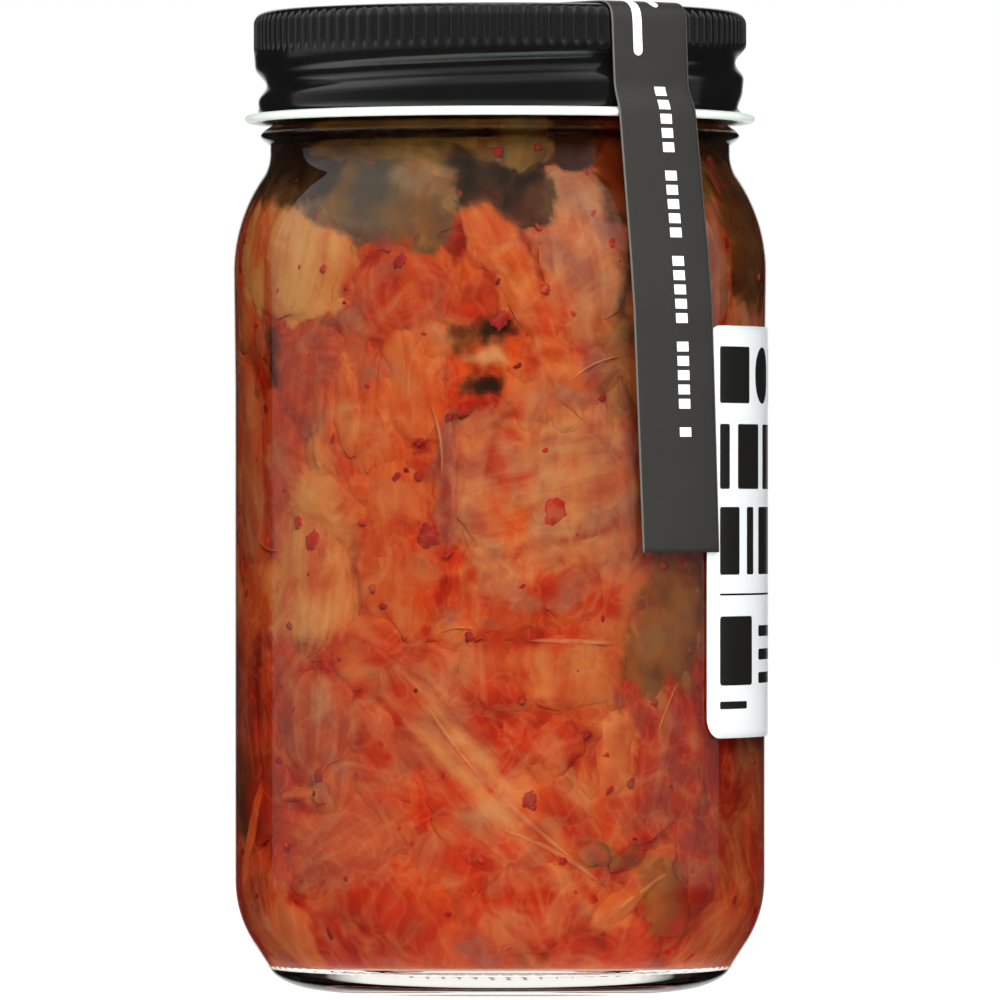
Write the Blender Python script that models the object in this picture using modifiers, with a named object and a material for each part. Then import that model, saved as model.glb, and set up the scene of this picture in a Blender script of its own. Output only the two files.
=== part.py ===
"""Kimchi jar, pint size: a round glass jar with a pressed steel screw lid, a seal strip over the lid,
a wrapped side label, and the packed cabbage inside.

Metres, +Z up. The origin is the centre of the base, on the surface that the jar stands on. The front
of the jar faces -Y. An azimuth is an angle round the axis, from the front (-Y) towards +X.
"""
import math
import random

import bmesh
import bpy
from mathutils import Matrix

MM = 0.001

# Whole jar
LID_TOP_Z = 142.9 * MM
BODY_R = 39.0 * MM
LOWER_BODY_R = 38.8 * MM
WALL = 2.95 * MM
GAP = 0.25 * MM

# Glass: base, heel, body and shoulder
STAND_RING_R = (23.2 * MM, 25.2 * MM)
CORNER_RADII = (8.8 * MM, 4.2 * MM)
CORNER_TOP_Z = 2.8 * MM
HEEL_R = 17.0 * MM
HEEL_TOP_Z = 16.0 * MM
HEEL_TURN = 31.0
PUSH_UP_H = 2.2 * MM
FLOOR_EDGE = (29.5 * MM, 3.1 * MM)
FLOOR_CENTRE_Z = 5.0 * MM
TAPER_END_Z = 88.0 * MM
SHOULDER_Z = 105.0 * MM
SHOULDER_R = 24.5 * MM
NECK_R = 33.66 * MM
NECK_FILLET_R = 6.0 * MM
GLASS_STEPS = 50

# Glass: bead under the lid, finish and its thread
BEAD_R = 35.3 * MM
BEAD_Z = 124.9 * MM
BEAD_H = 2.4 * MM
FINISH_R = 33.2 * MM
RIM_Z = 142.0 * MM
RIM_ROUND = 0.9 * MM
GLASS_THREAD_R = 1.15 * MM
GLASS_THREAD_CREST = 34.75 * MM
GLASS_THREAD_TURNS = 1.1
GLASS_THREAD_RISE = 0.47
GLASS_THREAD_POINTS = 32

# Lid: pressed steel sheet, rolled thread and outward curl
LID_R = 36.04 * MM
LID_BOTTOM_R = 35.35 * MM
LID_CORNER_R = 1.8 * MM
LID_SHEET = 0.5 * MM
LID_BAND_SHEET = 0.85 * MM
LID_SKIRT_Z = (138.2 * MM, 128.8 * MM)
LID_SKIRT_ROWS = 8
LID_STEPS = 42
CURL_TIP_R = 37.3 * MM
CURL_Z = 127.5 * MM
CURL_HALF_H = 0.72 * MM
FLUTES = 120
FLUTE_Z = (137.0 * MM, 142.1 * MM)
FLUTE_R = 0.6 * MM
FLUTE_DEPTH = 0.4 * MM

# Rolled thread: a right-hand helix pressed into the skirt
THREAD_PITCH = 6.9 * MM
THREAD_START = (135.0, 136.5 * MM)
THREAD_TURNS = 1.25
THREAD_DEPTH = 1.45 * MM
THREAD_HALF_W = 2.6 * MM

# Label on the right-hand side
LABEL_AZIMUTHS = (49.6, 150.0)
LABEL_Z = (37.2 * MM, 96.8 * MM)
LABEL_CORNER_R = 3.0 * MM
LABEL_SHEET = 0.15 * MM

# Seal strip: over the lid, down over the shoulder on both sides
STRIP_W = 13.4 * MM
STRIP_SHEET = 0.2 * MM
STRIP_AZIMUTH = 36.7
STRIP_SLANT = 0.040
STRIP_END_Z = 63.6 * MM
STRIP_COLUMNS = 4

# Packed cabbage
FILL_TOP_Z = 130.5 * MM
FILL_CLEARANCE = 0.45 * MM
CORE_INSET = 2.0 * MM
CORE_STEPS = 24
PIECE_DEPTH = 5.0 * MM
EDGE_DROP = 0.9 * MM
FLAT_SPAN = 4.5 * MM
FLAKE_R = 1.5 * MM
CORE_LEVELS = (4.3, 9.0, 16.0, 34.0, 54.0, 72.0, 90.0, 105.0, 112.0, 118.0, 123.0, 128.5)
BACK_TIERS = (14.0, 36.0, 60.0, 84.0, 108.0)
BACK_START = 88.0
BACK_STEP = 52.0
BACK_PIECES = 4
FLAKE_Z = (13.0, 114.0)
SEED = 5


def collection(name):
    group = bpy.data.collections.new(name)
    bpy.context.scene.collection.children.link(group)
    return group


def material(name, colour, roughness, metallic=0.0, transmission=0.0):
    mat = bpy.data.materials.new(name)
    mat.use_nodes = True
    shader = mat.node_tree.nodes["Principled BSDF"]
    shader.inputs["Base Color"].default_value = (*colour, 1.0)
    shader.inputs["Roughness"].default_value = roughness
    shader.inputs["Metallic"].default_value = metallic
    shader.inputs["Transmission Weight"].default_value = transmission
    mat.diffuse_color = (*colour, 1.0)
    return mat


def add_mesh(name, bm, group):
    """Makes an object of a bmesh, in a collection."""
    mesh = bpy.data.meshes.new(name)
    bm.to_mesh(mesh)
    bm.free()
    obj = bpy.data.objects.new(name, mesh)
    group.objects.link(obj)
    return obj


def apply_modifiers(obj):
    """Bakes an object's modifiers into its mesh; a curve becomes a mesh with its caps welded on."""
    bpy.context.view_layer.update()
    evaluated = obj.evaluated_get(bpy.context.evaluated_depsgraph_get())
    mesh = bpy.data.meshes.new_from_object(evaluated)
    mesh.name = obj.name
    if obj.type == "MESH":
        obj.modifiers.clear()
        obj.data = mesh
        return obj
    bm = bmesh.new()
    bm.from_mesh(mesh)
    bmesh.ops.remove_doubles(bm, verts=bm.verts, dist=0.001 * MM)
    bm.to_mesh(mesh)
    bm.free()
    solid = bpy.data.objects.new(obj.name, mesh)
    obj.users_collection[0].objects.link(solid)
    solid.matrix_world = obj.matrix_world
    bpy.data.objects.remove(obj)
    return solid


def shade(obj, mat, sharp_deg=35.0):
    obj.data.materials.clear()
    obj.data.materials.append(mat)
    obj.data.shade_smooth()
    obj.data.set_sharp_from_angle(angle=math.radians(sharp_deg))


def arc(centre, radii, start_deg, end_deg, steps):
    """Points (r, z) on an elliptical arc, both ends included. 0 degrees points outwards, 90 up."""
    angles = [math.radians(start_deg + (end_deg - start_deg) * i / steps) for i in range(steps + 1)]
    return [(centre[0] + radii[0] * math.cos(a), centre[1] + radii[1] * math.sin(a)) for a in angles]


def turned(name, profile, steps, group):
    """A solid of revolution: the profile (r, z) runs down its outer side and ends on the axis."""
    bm = bmesh.new()
    verts = [bm.verts.new((r, 0.0, z)) for r, z in profile]
    for a, b in zip(verts, verts[1:]):
        bm.edges.new((a, b))
    obj = add_mesh(name, bm, group)
    screw = obj.modifiers.new("Turn", "SCREW")
    screw.axis = "Z"
    screw.angle = math.tau
    screw.steps = steps
    screw.render_steps = steps
    screw.use_merge_vertices = True
    screw.merge_threshold = 0.01 * MM
    return apply_modifiers(obj)


def around(azimuth_deg, radius, z):
    """The point at an azimuth, a radius and a height."""
    a = math.radians(azimuth_deg)
    return (radius * math.sin(a), -radius * math.cos(a), z)


def azimuth_of(point):
    return math.degrees(math.atan2(point[0], -point[1]))


def radius_at(profile, z):
    """The radius of a profile, given as (r, z) points that rise, at a height."""
    for (r0, z0), (r1, z1) in zip(profile, profile[1:]):
        if z0 <= z <= z1:
            return r0 + (r1 - r0) * (z - z0) / (z1 - z0)
    return profile[0][0] if z < profile[0][1] else profile[-1][0]


def smooth_step(low, high, value):
    t = min(1.0, max(0.0, (value - low) / (high - low)))
    return t * t * (3.0 - 2.0 * t)


def boolean(obj, operation, other=None, group=None, solver="EXACT"):
    """Cuts or joins an object with another object, or with all that a collection holds."""
    mod = obj.modifiers.new(operation.title(), "BOOLEAN")
    mod.operation = operation
    mod.solver = solver
    if group is None:
        mod.object = other
    else:
        mod.operand_type = "COLLECTION"
        mod.collection = group
    return apply_modifiers(obj)


def keep_outer_shell(obj):
    """Fills the hollows that joining has sealed and drops loose scraps: only the largest shell stays."""
    bm = bmesh.new()
    bm.from_mesh(obj.data)
    unseen = set(bm.verts)
    shells = []
    while unseen:
        shell = set()
        front = [unseen.pop()]
        while front:
            vert = front.pop()
            shell.add(vert)
            near = [edge.other_vert(vert) for edge in vert.link_edges]
            front += [v for v in near if v in unseen]
            unseen.difference_update(near)
        shells.append(shell)
    largest = max(shells, key=len)
    bmesh.ops.delete(bm, geom=[v for v in bm.verts if v not in largest], context="VERTS")
    bm.to_mesh(obj.data)
    bm.free()


def shoulder_and_neck(inset):
    """The shoulder's outward arc and the neck's inward fillet, tangent to each other, as they rise.

    inset moves the whole outline inwards: 0 for the outside of the glass, the wall for its inside.
    """
    centre_r = BODY_R - SHOULDER_R
    fillet_r = NECK_R + NECK_FILLET_R
    reach = SHOULDER_R + NECK_FILLET_R
    rise = math.sqrt(reach**2 - (fillet_r - centre_r) ** 2)
    turn = math.degrees(math.atan2(rise, fillet_r - centre_r))
    outward = SHOULDER_R - inset
    inward = NECK_FILLET_R + inset
    shoulder = arc((centre_r, SHOULDER_Z), (outward, outward), 0.0, turn, 4)
    fillet = arc((fillet_r, SHOULDER_Z + rise), (inward, inward), 180.0 + turn, 180.0, 2)
    return shoulder + fillet[1:]


def inside_profile():
    """The inside of the glass from its floor's edge up to the rim, as (r, z) points that rise."""
    body_r = BODY_R - WALL
    neck_r = NECK_R - WALL
    heel_radii = (body_r - FLOOR_EDGE[0], HEEL_TOP_Z - FLOOR_EDGE[1])
    heel = arc((FLOOR_EDGE[0], HEEL_TOP_Z), heel_radii, -90.0, 0.0, 4)
    return heel + shoulder_and_neck(WALL) + [(neck_r, RIM_Z - RIM_ROUND)]


def outside_profile():
    """The outside of the glass from the bead under the lid down to the ring it stands on."""
    half = BEAD_H / 2.0
    bead = [
        (BEAD_R - 1.3 * MM, BEAD_Z + 0.75 * BEAD_H),
        (BEAD_R - 0.1 * MM, BEAD_Z + 0.45 * half),
        (BEAD_R - 0.1 * MM, BEAD_Z - 0.35 * half),
        (NECK_R, BEAD_Z - half),
    ]
    upper = shoulder_and_neck(0.0)[::-1]
    heel = arc((LOWER_BODY_R - HEEL_R, HEEL_TOP_Z), (HEEL_R, HEEL_R), 0.0, -HEEL_TURN, 3)
    corner_start = math.degrees(math.asin(1.0 - CORNER_TOP_Z / CORNER_RADII[1]))
    corner = arc((STAND_RING_R[1], CORNER_RADII[1]), CORNER_RADII, -corner_start, -90.0, 3)
    return bead + upper + [(LOWER_BODY_R, TAPER_END_Z)] + heel + corner


def thread_height(turns):
    """The height of the rolled thread's centre, some turns down from its start."""
    return THREAD_START[1] - THREAD_PITCH * turns


def thread_press(azimuth_deg, z):
    """How far the skirt is pressed in at a point: a raised cosine across the groove, faded at its ends."""
    depth = 0.0
    first = ((THREAD_START[0] - azimuth_deg) / 360.0) % 1.0
    for turns in (first, first + 1.0):
        strength = smooth_step(0.0, 0.08, turns) * (1.0 - smooth_step(0.95, THREAD_TURNS, turns))
        offset = abs(z - thread_height(turns)) / THREAD_HALF_W
        if offset < 1.0:
            depth = max(depth, THREAD_DEPTH * strength * 0.5 * (1.0 + math.cos(math.pi * offset)))
    return depth


def make_glass(group):
    """The jar: one blow-moulded shell, open at its mouth, with a raised thread on the finish."""
    inner = inside_profile()
    floor = [(0.0, FLOOR_CENTRE_Z), (FLOOR_EDGE[0] * 0.7, FLOOR_EDGE[1] + 0.6 * MM)]
    rim = [
        (NECK_R - WALL + RIM_ROUND, RIM_Z),
        (FINISH_R - RIM_ROUND, RIM_Z),
        (FINISH_R, RIM_Z - RIM_ROUND),
        (FINISH_R, BEAD_Z + 1.1 * BEAD_H),
    ]
    base = [
        (STAND_RING_R[0], 0.0),
        (STAND_RING_R[0] * 0.82, PUSH_UP_H * 0.7),
        (0.0, PUSH_UP_H),
    ]
    jar = turned("glass_jar", floor + inner + rim + outside_profile() + base, GLASS_STEPS, group)

    curve = bpy.data.curves.new("glass_thread", "CURVE")
    curve.dimensions = "3D"
    curve.bevel_depth = GLASS_THREAD_R
    curve.bevel_resolution = 1
    curve.use_fill_caps = True
    spline = curve.splines.new("POLY")
    spline.points.add(GLASS_THREAD_POINTS)
    for i, point in enumerate(spline.points):
        turns = GLASS_THREAD_TURNS * i / GLASS_THREAD_POINTS
        centre = around(
            THREAD_START[0] - 360.0 * turns,
            GLASS_THREAD_CREST - GLASS_THREAD_R,
            thread_height(turns) + GLASS_THREAD_RISE * THREAD_PITCH,
        )
        point.co = (*centre, 1.0)
    thread = bpy.data.objects.new("glass_thread", curve)
    group.objects.link(thread)
    thread = apply_modifiers(thread)
    jar = boolean(jar, "UNION", thread)
    bpy.data.objects.remove(thread)
    shade(jar, material("clear_glass", (0.93, 0.96, 0.95), 0.03, transmission=1.0))
    return jar


def make_lid(group, cutters):
    """The lid: a turned sheet, its thread pressed in, and grip flutes cut round its upper edge."""
    top_r = LID_R - LID_CORNER_R
    corner = arc((top_r, LID_TOP_Z - LID_CORNER_R), (LID_CORNER_R, LID_CORNER_R), 90.0, 0.0, 3)
    skirt_top, skirt_end = LID_SKIRT_Z
    outer = []
    inner = []
    for i in range(LID_SKIRT_ROWS):
        t = i / (LID_SKIRT_ROWS - 1)
        z = skirt_top + (skirt_end - skirt_top) * t
        r = LID_R + (LID_BOTTOM_R - LID_R) * t
        outer.append((r, z))
        inner.append((r - LID_SHEET, z))
    curl = [
        (CURL_TIP_R - 1.1 * MM, CURL_Z + CURL_HALF_H),
        (CURL_TIP_R, CURL_Z),
        (CURL_TIP_R - 0.9 * MM, CURL_Z - CURL_HALF_H),
        (LID_BOTTOM_R - LID_SHEET, CURL_Z - 0.6 * CURL_HALF_H),
    ]
    band_r = LID_R - LID_BAND_SHEET
    ceiling = [
        (band_r, skirt_top + 0.8 * MM),
        (band_r, LID_TOP_Z - LID_CORNER_R),
        (top_r, LID_TOP_Z - 0.6 * MM),
        (0.0, LID_TOP_Z - 0.6 * MM),
    ]
    profile = [(0.0, LID_TOP_Z)] + corner + outer + curl + inner[::-1] + ceiling
    lid = turned("lid", profile, LID_STEPS, group)
    for vert in lid.data.vertices:
        r = math.hypot(vert.co.x, vert.co.y)
        if vert.co.z < skirt_top + 0.1 * MM and vert.co.z > CURL_Z + CURL_HALF_H + 0.1 * MM:
            pressed = r - thread_press(azimuth_of(vert.co), vert.co.z)
            vert.co.x *= pressed / r
            vert.co.y *= pressed / r

    bm = bmesh.new()
    length = FLUTE_Z[1] - FLUTE_Z[0]
    for i in range(FLUTES):
        azimuth = (i + 0.5) * 360.0 / FLUTES
        place = around(azimuth, LID_R + FLUTE_R - FLUTE_DEPTH, (FLUTE_Z[0] + FLUTE_Z[1]) / 2.0)
        turn = Matrix.Translation(place) @ Matrix.Rotation(math.radians(azimuth), 4, "Z")
        bmesh.ops.create_cone(
            bm, cap_ends=True, segments=4, radius1=FLUTE_R, radius2=FLUTE_R, depth=length, matrix=turn
        )
    flutes = add_mesh("flute_cutter", bm, cutters)
    flutes.hide_render = True
    flutes.display_type = "WIRE"
    lid = boolean(lid, "DIFFERENCE", flutes)
    shade(lid, material("black_enamel", (0.012, 0.012, 0.013), 0.22), sharp_deg=25.0)
    return lid


def make_label(group):
    """The side label: paper with round corners, wrapped on the body."""
    half_h = (LABEL_Z[1] - LABEL_Z[0]) / 2.0
    middle_z = (LABEL_Z[1] + LABEL_Z[0]) / 2.0
    radius = BODY_R + GAP
    width = radius * math.radians(LABEL_AZIMUTHS[1] - LABEL_AZIMUTHS[0])
    corner = [LABEL_CORNER_R * (1.0 - math.cos(math.radians(a))) for a in (0.0, 30.0, 60.0, 90.0)]
    plain = [corner[-1] + (width - 2.0 * corner[-1]) * i / 18.0 for i in range(1, 18)]
    columns = corner + plain + [width - c for c in reversed(corner)]
    bm = bmesh.new()
    bmesh.ops.create_grid(bm, x_segments=len(columns) - 1, y_segments=1, size=1.0)
    for vert in bm.verts:
        across = columns[round((vert.co.x + 1.0) / 2.0 * (len(columns) - 1))]
        into = min(LABEL_CORNER_R, across, width - across)
        drop = LABEL_CORNER_R - math.sqrt(max(0.0, LABEL_CORNER_R**2 - (LABEL_CORNER_R - into) ** 2))
        azimuth = LABEL_AZIMUTHS[0] + math.degrees(across / radius)
        vert.co = around(azimuth, radius, middle_z + math.copysign(half_h - drop, vert.co.y))
    label = add_mesh("label", bm, group)
    sheet = label.modifiers.new("Sheet", "SOLIDIFY")
    sheet.thickness = LABEL_SHEET
    sheet.offset = 1.0
    label = apply_modifiers(label)
    shade(label, material("white_paper", (0.86, 0.87, 0.87), 0.3))
    return label


def strip_path():
    """Half of the strip's path, from the middle of the lid to its end on the body, as (r, z) points."""
    clear = GAP
    corner_r = LID_CORNER_R + clear
    top_r = LID_R - LID_CORNER_R
    corner = arc((top_r, LID_TOP_Z - LID_CORNER_R), (corner_r, corner_r), 90.0, 0.0, 4)
    body_r = BODY_R + GAP + LABEL_SHEET + GAP
    return (
        [(0.0, LID_TOP_Z + clear), (top_r * 0.45, LID_TOP_Z + clear), (top_r * 0.8, LID_TOP_Z + clear)]
        + corner
        + [
            (LID_R + clear, CURL_Z + 3.6 * MM),
            (CURL_TIP_R + clear, CURL_Z + 0.4 * MM),
            (BODY_R + 0.2 * MM, SHOULDER_Z + 2.2 * MM),
            (body_r, LABEL_Z[1] + 2.0 * MM),
            (body_r, STRIP_END_Z),
        ]
    )


def make_strip(group):
    """The seal strip: one straight band laid a little askew over the lid and stuck down both sides."""
    half = strip_path()
    lengths = [0.0]
    for (r0, z0), (r1, z1) in zip(half, half[1:]):
        lengths.append(lengths[-1] + math.hypot(r1 - r0, z1 - z0))
    rows = len(half) - 1
    edge_r = LID_R
    edge_row = next(i for i, (r, _) in enumerate(half) if r >= edge_r)
    bm = bmesh.new()
    bmesh.ops.create_grid(bm, x_segments=2 * rows, y_segments=STRIP_COLUMNS, size=1.0)
    turn = Matrix.Rotation(math.radians(STRIP_AZIMUTH - 90.0), 3, "Z")
    for vert in bm.verts:
        row = round(vert.co.x * rows)
        side = -1.0 if row < 0 else 1.0
        r, z = half[abs(row)]
        along = side * lengths[abs(row)]
        across = vert.co.y * STRIP_W / 2.0 + STRIP_SLANT * (along - lengths[edge_row])
        if r < edge_r:
            sag = (edge_r - math.sqrt(edge_r**2 - across**2)) * (r / edge_r) ** 4
            flat = (side * (r - sag), across, z)
        else:
            swing = math.asin(across / edge_r)
            flat = (side * r * math.cos(swing), r * math.sin(swing), z)
        vert.co = flat
        vert.co.rotate(turn)
    strip = add_mesh("seal_strip", bm, group)
    sheet = strip.modifiers.new("Sheet", "SOLIDIFY")
    sheet.thickness = STRIP_SHEET
    sheet.offset = 1.0
    strip = apply_modifiers(strip)
    shade(strip, material("grey_strip", (0.055, 0.055, 0.052), 0.45))
    return strip


def fill_radius(z):
    """How far out the packed pieces reach at a height: clear of the glass there and a little above it."""
    wall = inside_profile()
    return min(radius_at(wall, z), radius_at(wall, z + FLAT_SPAN)) - FILL_CLEARANCE


def packed_piece(name, azimuth, z, width, length, tilt, ribs, ripple, rng, group):
    """A piece of leaf or stem pressed on the glass: a ribbed sheet with a ragged outline, bent to the wall.

    ribs is the number of ribs along it, ripple their depth, tilt its turn from upright in degrees.
    """
    columns = 4
    rows = 3
    bm = bmesh.new()
    bmesh.ops.create_grid(bm, x_segments=columns, y_segments=rows, size=1.0)
    turn = math.radians(tilt)
    phase = rng.uniform(0.0, math.tau)
    reach = 0.58 * (length * math.cos(turn) + width * abs(math.sin(turn)))
    middle_z = min(FILL_TOP_Z - 1.5 * MM - reach, max(FLOOR_EDGE[1] + 2.0 * MM + reach, z))
    for vert in bm.verts:
        u, v = vert.co.x, vert.co.y
        taper = 1.0 - 0.22 * abs(v) ** 3
        edge = max(abs(u), abs(v)) ** 4
        x = u * width / 2.0 * taper * (1.0 + edge * rng.uniform(-0.18, 0.12))
        y = v * length / 2.0 * (1.0 - 0.15 * u * u * abs(v)) * (1.0 + edge * rng.uniform(-0.14, 0.10))
        side = x * math.cos(turn) + y * math.sin(turn)
        up = y * math.cos(turn) - x * math.sin(turn)
        height = middle_z + up
        wave = 0.5 + 0.5 * math.cos(ribs * math.pi * u + phase + 1.3 * v)
        r = fill_radius(height) - ripple * wave - EDGE_DROP * edge
        vert.co = around(azimuth + math.degrees(side / r), r, height)
    piece = add_mesh(name, bm, group)
    body = piece.modifiers.new("Depth", "SOLIDIFY")
    body.thickness = PIECE_DEPTH
    body.offset = -1.0
    return apply_modifiers(piece)


def chilli_flake(name, azimuth, z, size, rng, group):
    """A chilli flake: a small five-sided chip that shows at the wall and is sunk down to the core."""
    bm = bmesh.new()
    depth = CORE_INSET + 1.0 * MM
    r = fill_radius(z) - depth / 2.0 - 0.1 * MM
    place = (
        Matrix.Translation(around(azimuth, r, z))
        @ Matrix.Rotation(math.radians(azimuth), 4, "Z")
        @ Matrix.Rotation(math.radians(90.0), 4, "X")
        @ Matrix.Rotation(rng.uniform(0.0, math.tau), 4, "Z")
    )
    bmesh.ops.create_cone(
        bm, cap_ends=True, segments=5, radius1=size, radius2=size, depth=depth, matrix=place
    )
    return add_mesh(name, bm, group)


def make_kimchi(group):
    """The filling: cut cabbage packed to the wall, as one heap over a plain core.

    The pieces that show at the front stand where they do in the jar, and those at the back follow
    the same packing: five tiers of overlapping pieces, turned by a seeded draw.
    """
    rng = random.Random(SEED)
    side = []
    for level in reversed(CORE_LEVELS):
        z = level * MM
        inset = 0.55 * CORE_INSET if z < 6.0 * MM else CORE_INSET
        side.append((fill_radius(z) - inset, z))
    top_r = side[0][0]
    profile = [(0.0, FILL_TOP_Z), (top_r * 0.6, FILL_TOP_Z - 0.6 * MM)] + side
    profile.append((0.0, FLOOR_CENTRE_Z + 0.6 * MM))
    core = turned("kimchi", profile, CORE_STEPS, group)

    pieces = collection("kimchi_pieces")
    # azimuth, height, width, length, tilt, ribs and rib depth of each piece that shows
    front = (
        (-30.0, 113.0, 32.0, 19.0, 12.0, 1, 0.6),
        (-46.0, 99.0, 20.0, 24.0, -14.0, 1, 0.7),
        (8.0, 117.0, 19.0, 20.0, 8.0, 2, 0.7),
        (4.0, 94.0, 11.0, 34.0, -14.0, 2, 0.6),
        (24.0, 103.0, 21.0, 28.0, 10.0, 1, 0.5),
        (-24.0, 82.0, 30.0, 26.0, 18.0, 3, 1.0),
        (-48.0, 66.0, 17.0, 36.0, 4.0, 2, 0.8),
        (-20.0, 59.0, 19.0, 34.0, -8.0, 3, 0.9),
        (9.0, 66.0, 26.0, 38.0, 20.0, 4, 1.1),
        (38.0, 74.0, 22.0, 34.0, -8.0, 2, 0.8),
        (-40.0, 32.0, 25.0, 30.0, -30.0, 3, 0.9),
        (-8.0, 32.0, 26.0, 40.0, -40.0, 4, 1.1),
        (24.0, 42.0, 26.0, 24.0, 26.0, 2, 0.8),
        (27.0, 18.0, 30.0, 20.0, 8.0, 2, 0.9),
        (-22.0, 13.0, 34.0, 18.0, 6.0, 2, 0.9),
    )
    spots = []
    for i, (azimuth, z, width, length, tilt, ribs, ripple) in enumerate(front):
        packed_piece(
            f"front_{i}", azimuth, z * MM, width * MM, length * MM, tilt, ribs, ripple * MM, rng, pieces
        )
        spots.append((azimuth, z))
    for tier, z in enumerate(BACK_TIERS):
        shorter = 0.7 if z in (BACK_TIERS[0], BACK_TIERS[-1]) else 1.0
        for i in range(BACK_PIECES):
            azimuth = BACK_START + BACK_STEP * i + 20.0 * (tier % 2) + rng.uniform(-6.0, 6.0)
            width = rng.uniform(24.0, 33.0) * MM
            length = rng.uniform(27.0, 38.0) * MM * shorter
            tilt = rng.uniform(-35.0, 35.0)
            packed_piece(
                f"back_{tier}_{i}", azimuth, z * MM, width, length, tilt, rng.randint(1, 3),
                rng.uniform(0.6, 1.1) * MM, rng, pieces,
            )
            spots.append((azimuth, z))
    for i, (azimuth, z) in enumerate(spots[::2]):
        azimuth += rng.uniform(-8.0, 8.0)
        z = min(FLAKE_Z[1], max(FLAKE_Z[0], z + rng.uniform(-5.0, 5.0)))
        chilli_flake(f"flake_{i}", azimuth, z * MM, FLAKE_R * rng.uniform(0.6, 1.1), rng, pieces)
    core = boolean(core, "UNION", group=pieces, solver="MANIFOLD")
    keep_outer_shell(core)
    for obj in list(pieces.objects):
        bpy.data.objects.remove(obj)
    bpy.data.collections.remove(pieces)
    shade(core, material("kimchi_red", (0.55, 0.14, 0.05), 0.35))
    return core


for old in list(bpy.data.objects):
    bpy.data.objects.remove(old)
jar_parts = collection("kimchi_jar")
jar_cutters = collection("cutters")
make_glass(jar_parts)
make_lid(jar_parts, jar_cutters)
make_label(jar_parts)
make_strip(jar_parts)
make_kimchi(jar_parts)
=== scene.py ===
"""The looks of a pint jar of kimchi: clear glass, black screw lid with a white hem, grey seal strip,
white side label, and cut cabbage packed in red brine.

Lengths are millimetres until a mesh is made, +Z is up, and the origin is the centre of the base. The
front faces -Y. An azimuth is an angle round the axis, in degrees from the front towards +X.
"""

import bpy
import numpy as np
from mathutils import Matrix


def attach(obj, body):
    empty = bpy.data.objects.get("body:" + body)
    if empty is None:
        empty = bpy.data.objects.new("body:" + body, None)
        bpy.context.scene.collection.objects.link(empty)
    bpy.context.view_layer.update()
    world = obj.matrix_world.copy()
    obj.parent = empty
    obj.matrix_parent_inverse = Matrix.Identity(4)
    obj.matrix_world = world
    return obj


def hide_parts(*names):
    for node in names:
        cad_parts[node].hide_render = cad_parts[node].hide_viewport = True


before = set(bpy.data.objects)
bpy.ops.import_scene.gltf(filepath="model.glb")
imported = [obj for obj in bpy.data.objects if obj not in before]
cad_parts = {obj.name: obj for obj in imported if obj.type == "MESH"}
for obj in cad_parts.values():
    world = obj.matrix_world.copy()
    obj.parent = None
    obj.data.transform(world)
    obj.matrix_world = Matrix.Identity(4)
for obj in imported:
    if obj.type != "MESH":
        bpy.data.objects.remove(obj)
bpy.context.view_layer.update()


# Glass jar: one blow-moulded piece of clear soda-lime glass with a smooth round body, a rounded
# heel on a short foot, a pushed-up base, and a neck with a bead and a raised thread under the lid.
MM = 0.001
BODY_R = 39.0
LOWER_BODY_R = 38.8
LOWER_BODY_Z = 88.0
WALL = 2.95
SHOULDER_Z = 105.0
SHOULDER_R = 24.5
NECK_R = 33.66
FILLET_R = 6.0
RIM_Z = 142.0
RIM_ROUND = (1.245, 0.9)
NECK_BORE_R = 32.0
FINISH_R = 33.2
BEAD_Z = 124.9
BEAD_HALF_H = 1.5
BEAD_OUT = 1.64
HEEL_R = 17.0
HEEL_TOP_Z = 16.0
HEEL_TURN = 31.0
FOOT_R = 25.2
FOOT_FACE_R = 30.0
FOOT_CORNER = (8.8, 4.2)
FOOT_CORNER_TURN = 19.5
FOOT_INNER_R = 23.2
PUSH_UP = 2.2
KNURL_Z = 3.35
KNURL_HALF_H = 0.4
KNURL_OUT = 0.14
FLOOR_EDGE = (27.5, 4.6)
FLOOR_DOME = 0.6
FLOOR_ROWS = 10
THREAD_PITCH = 6.9
THREAD_START = (135.0, 136.5)
GLASS_THREAD_OUT = 1.5
GLASS_THREAD_HALF_H = 1.6
GLASS_THREAD_TURNS = 1.12
GLASS_THREAD_FADE = 0.06
GLASS_THREAD_LIFT = 0.47
GLASS_COLUMNS = 360
GLASS_INDEX = 1.5
FOOT_INDEX = 1.13
BRINE_INDEX = 1.33
BRINE_TOP_Z = 131.0


def arc(centre, radii, start_deg, end_deg, steps):
    """Points (r, z) on an elliptical arc: the centre plus each radius times cosine and sine."""
    a = np.radians(np.linspace(start_deg, end_deg, steps + 1))
    return np.stack([centre[0] + radii[0] * np.cos(a), centre[1] + radii[1] * np.sin(a)], axis=1)


def line(start, end, steps):
    """Evenly spaced points from start to end."""
    return np.linspace(start, end, steps + 1)


def raised(value, middle, half):
    """A raised cosine: 1 at the middle, falling to 0 at half away from it and beyond."""
    return np.cos(np.clip((value - middle) / half, -1.0, 1.0) * np.pi / 2.0) ** 2


def shoulder_and_neck(inset):
    """Two arcs that touch: the shoulder's, outwards, and the neck fillet's, inwards, as they rise."""
    centre_r = BODY_R - SHOULDER_R
    fillet_r = NECK_R + FILLET_R
    reach = SHOULDER_R + FILLET_R
    rise = np.sqrt(reach**2 - (fillet_r - centre_r) ** 2)
    turn = np.degrees(np.arctan2(rise, fillet_r - centre_r))
    shoulder = arc((centre_r, SHOULDER_Z), (SHOULDER_R - inset,) * 2, 0.0, turn, 22)
    fillet = arc((fillet_r, SHOULDER_Z + rise), (FILLET_R + inset,) * 2, 180.0 + turn, 180.0, 10)
    return np.concatenate([shoulder, fillet[1:]])


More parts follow.
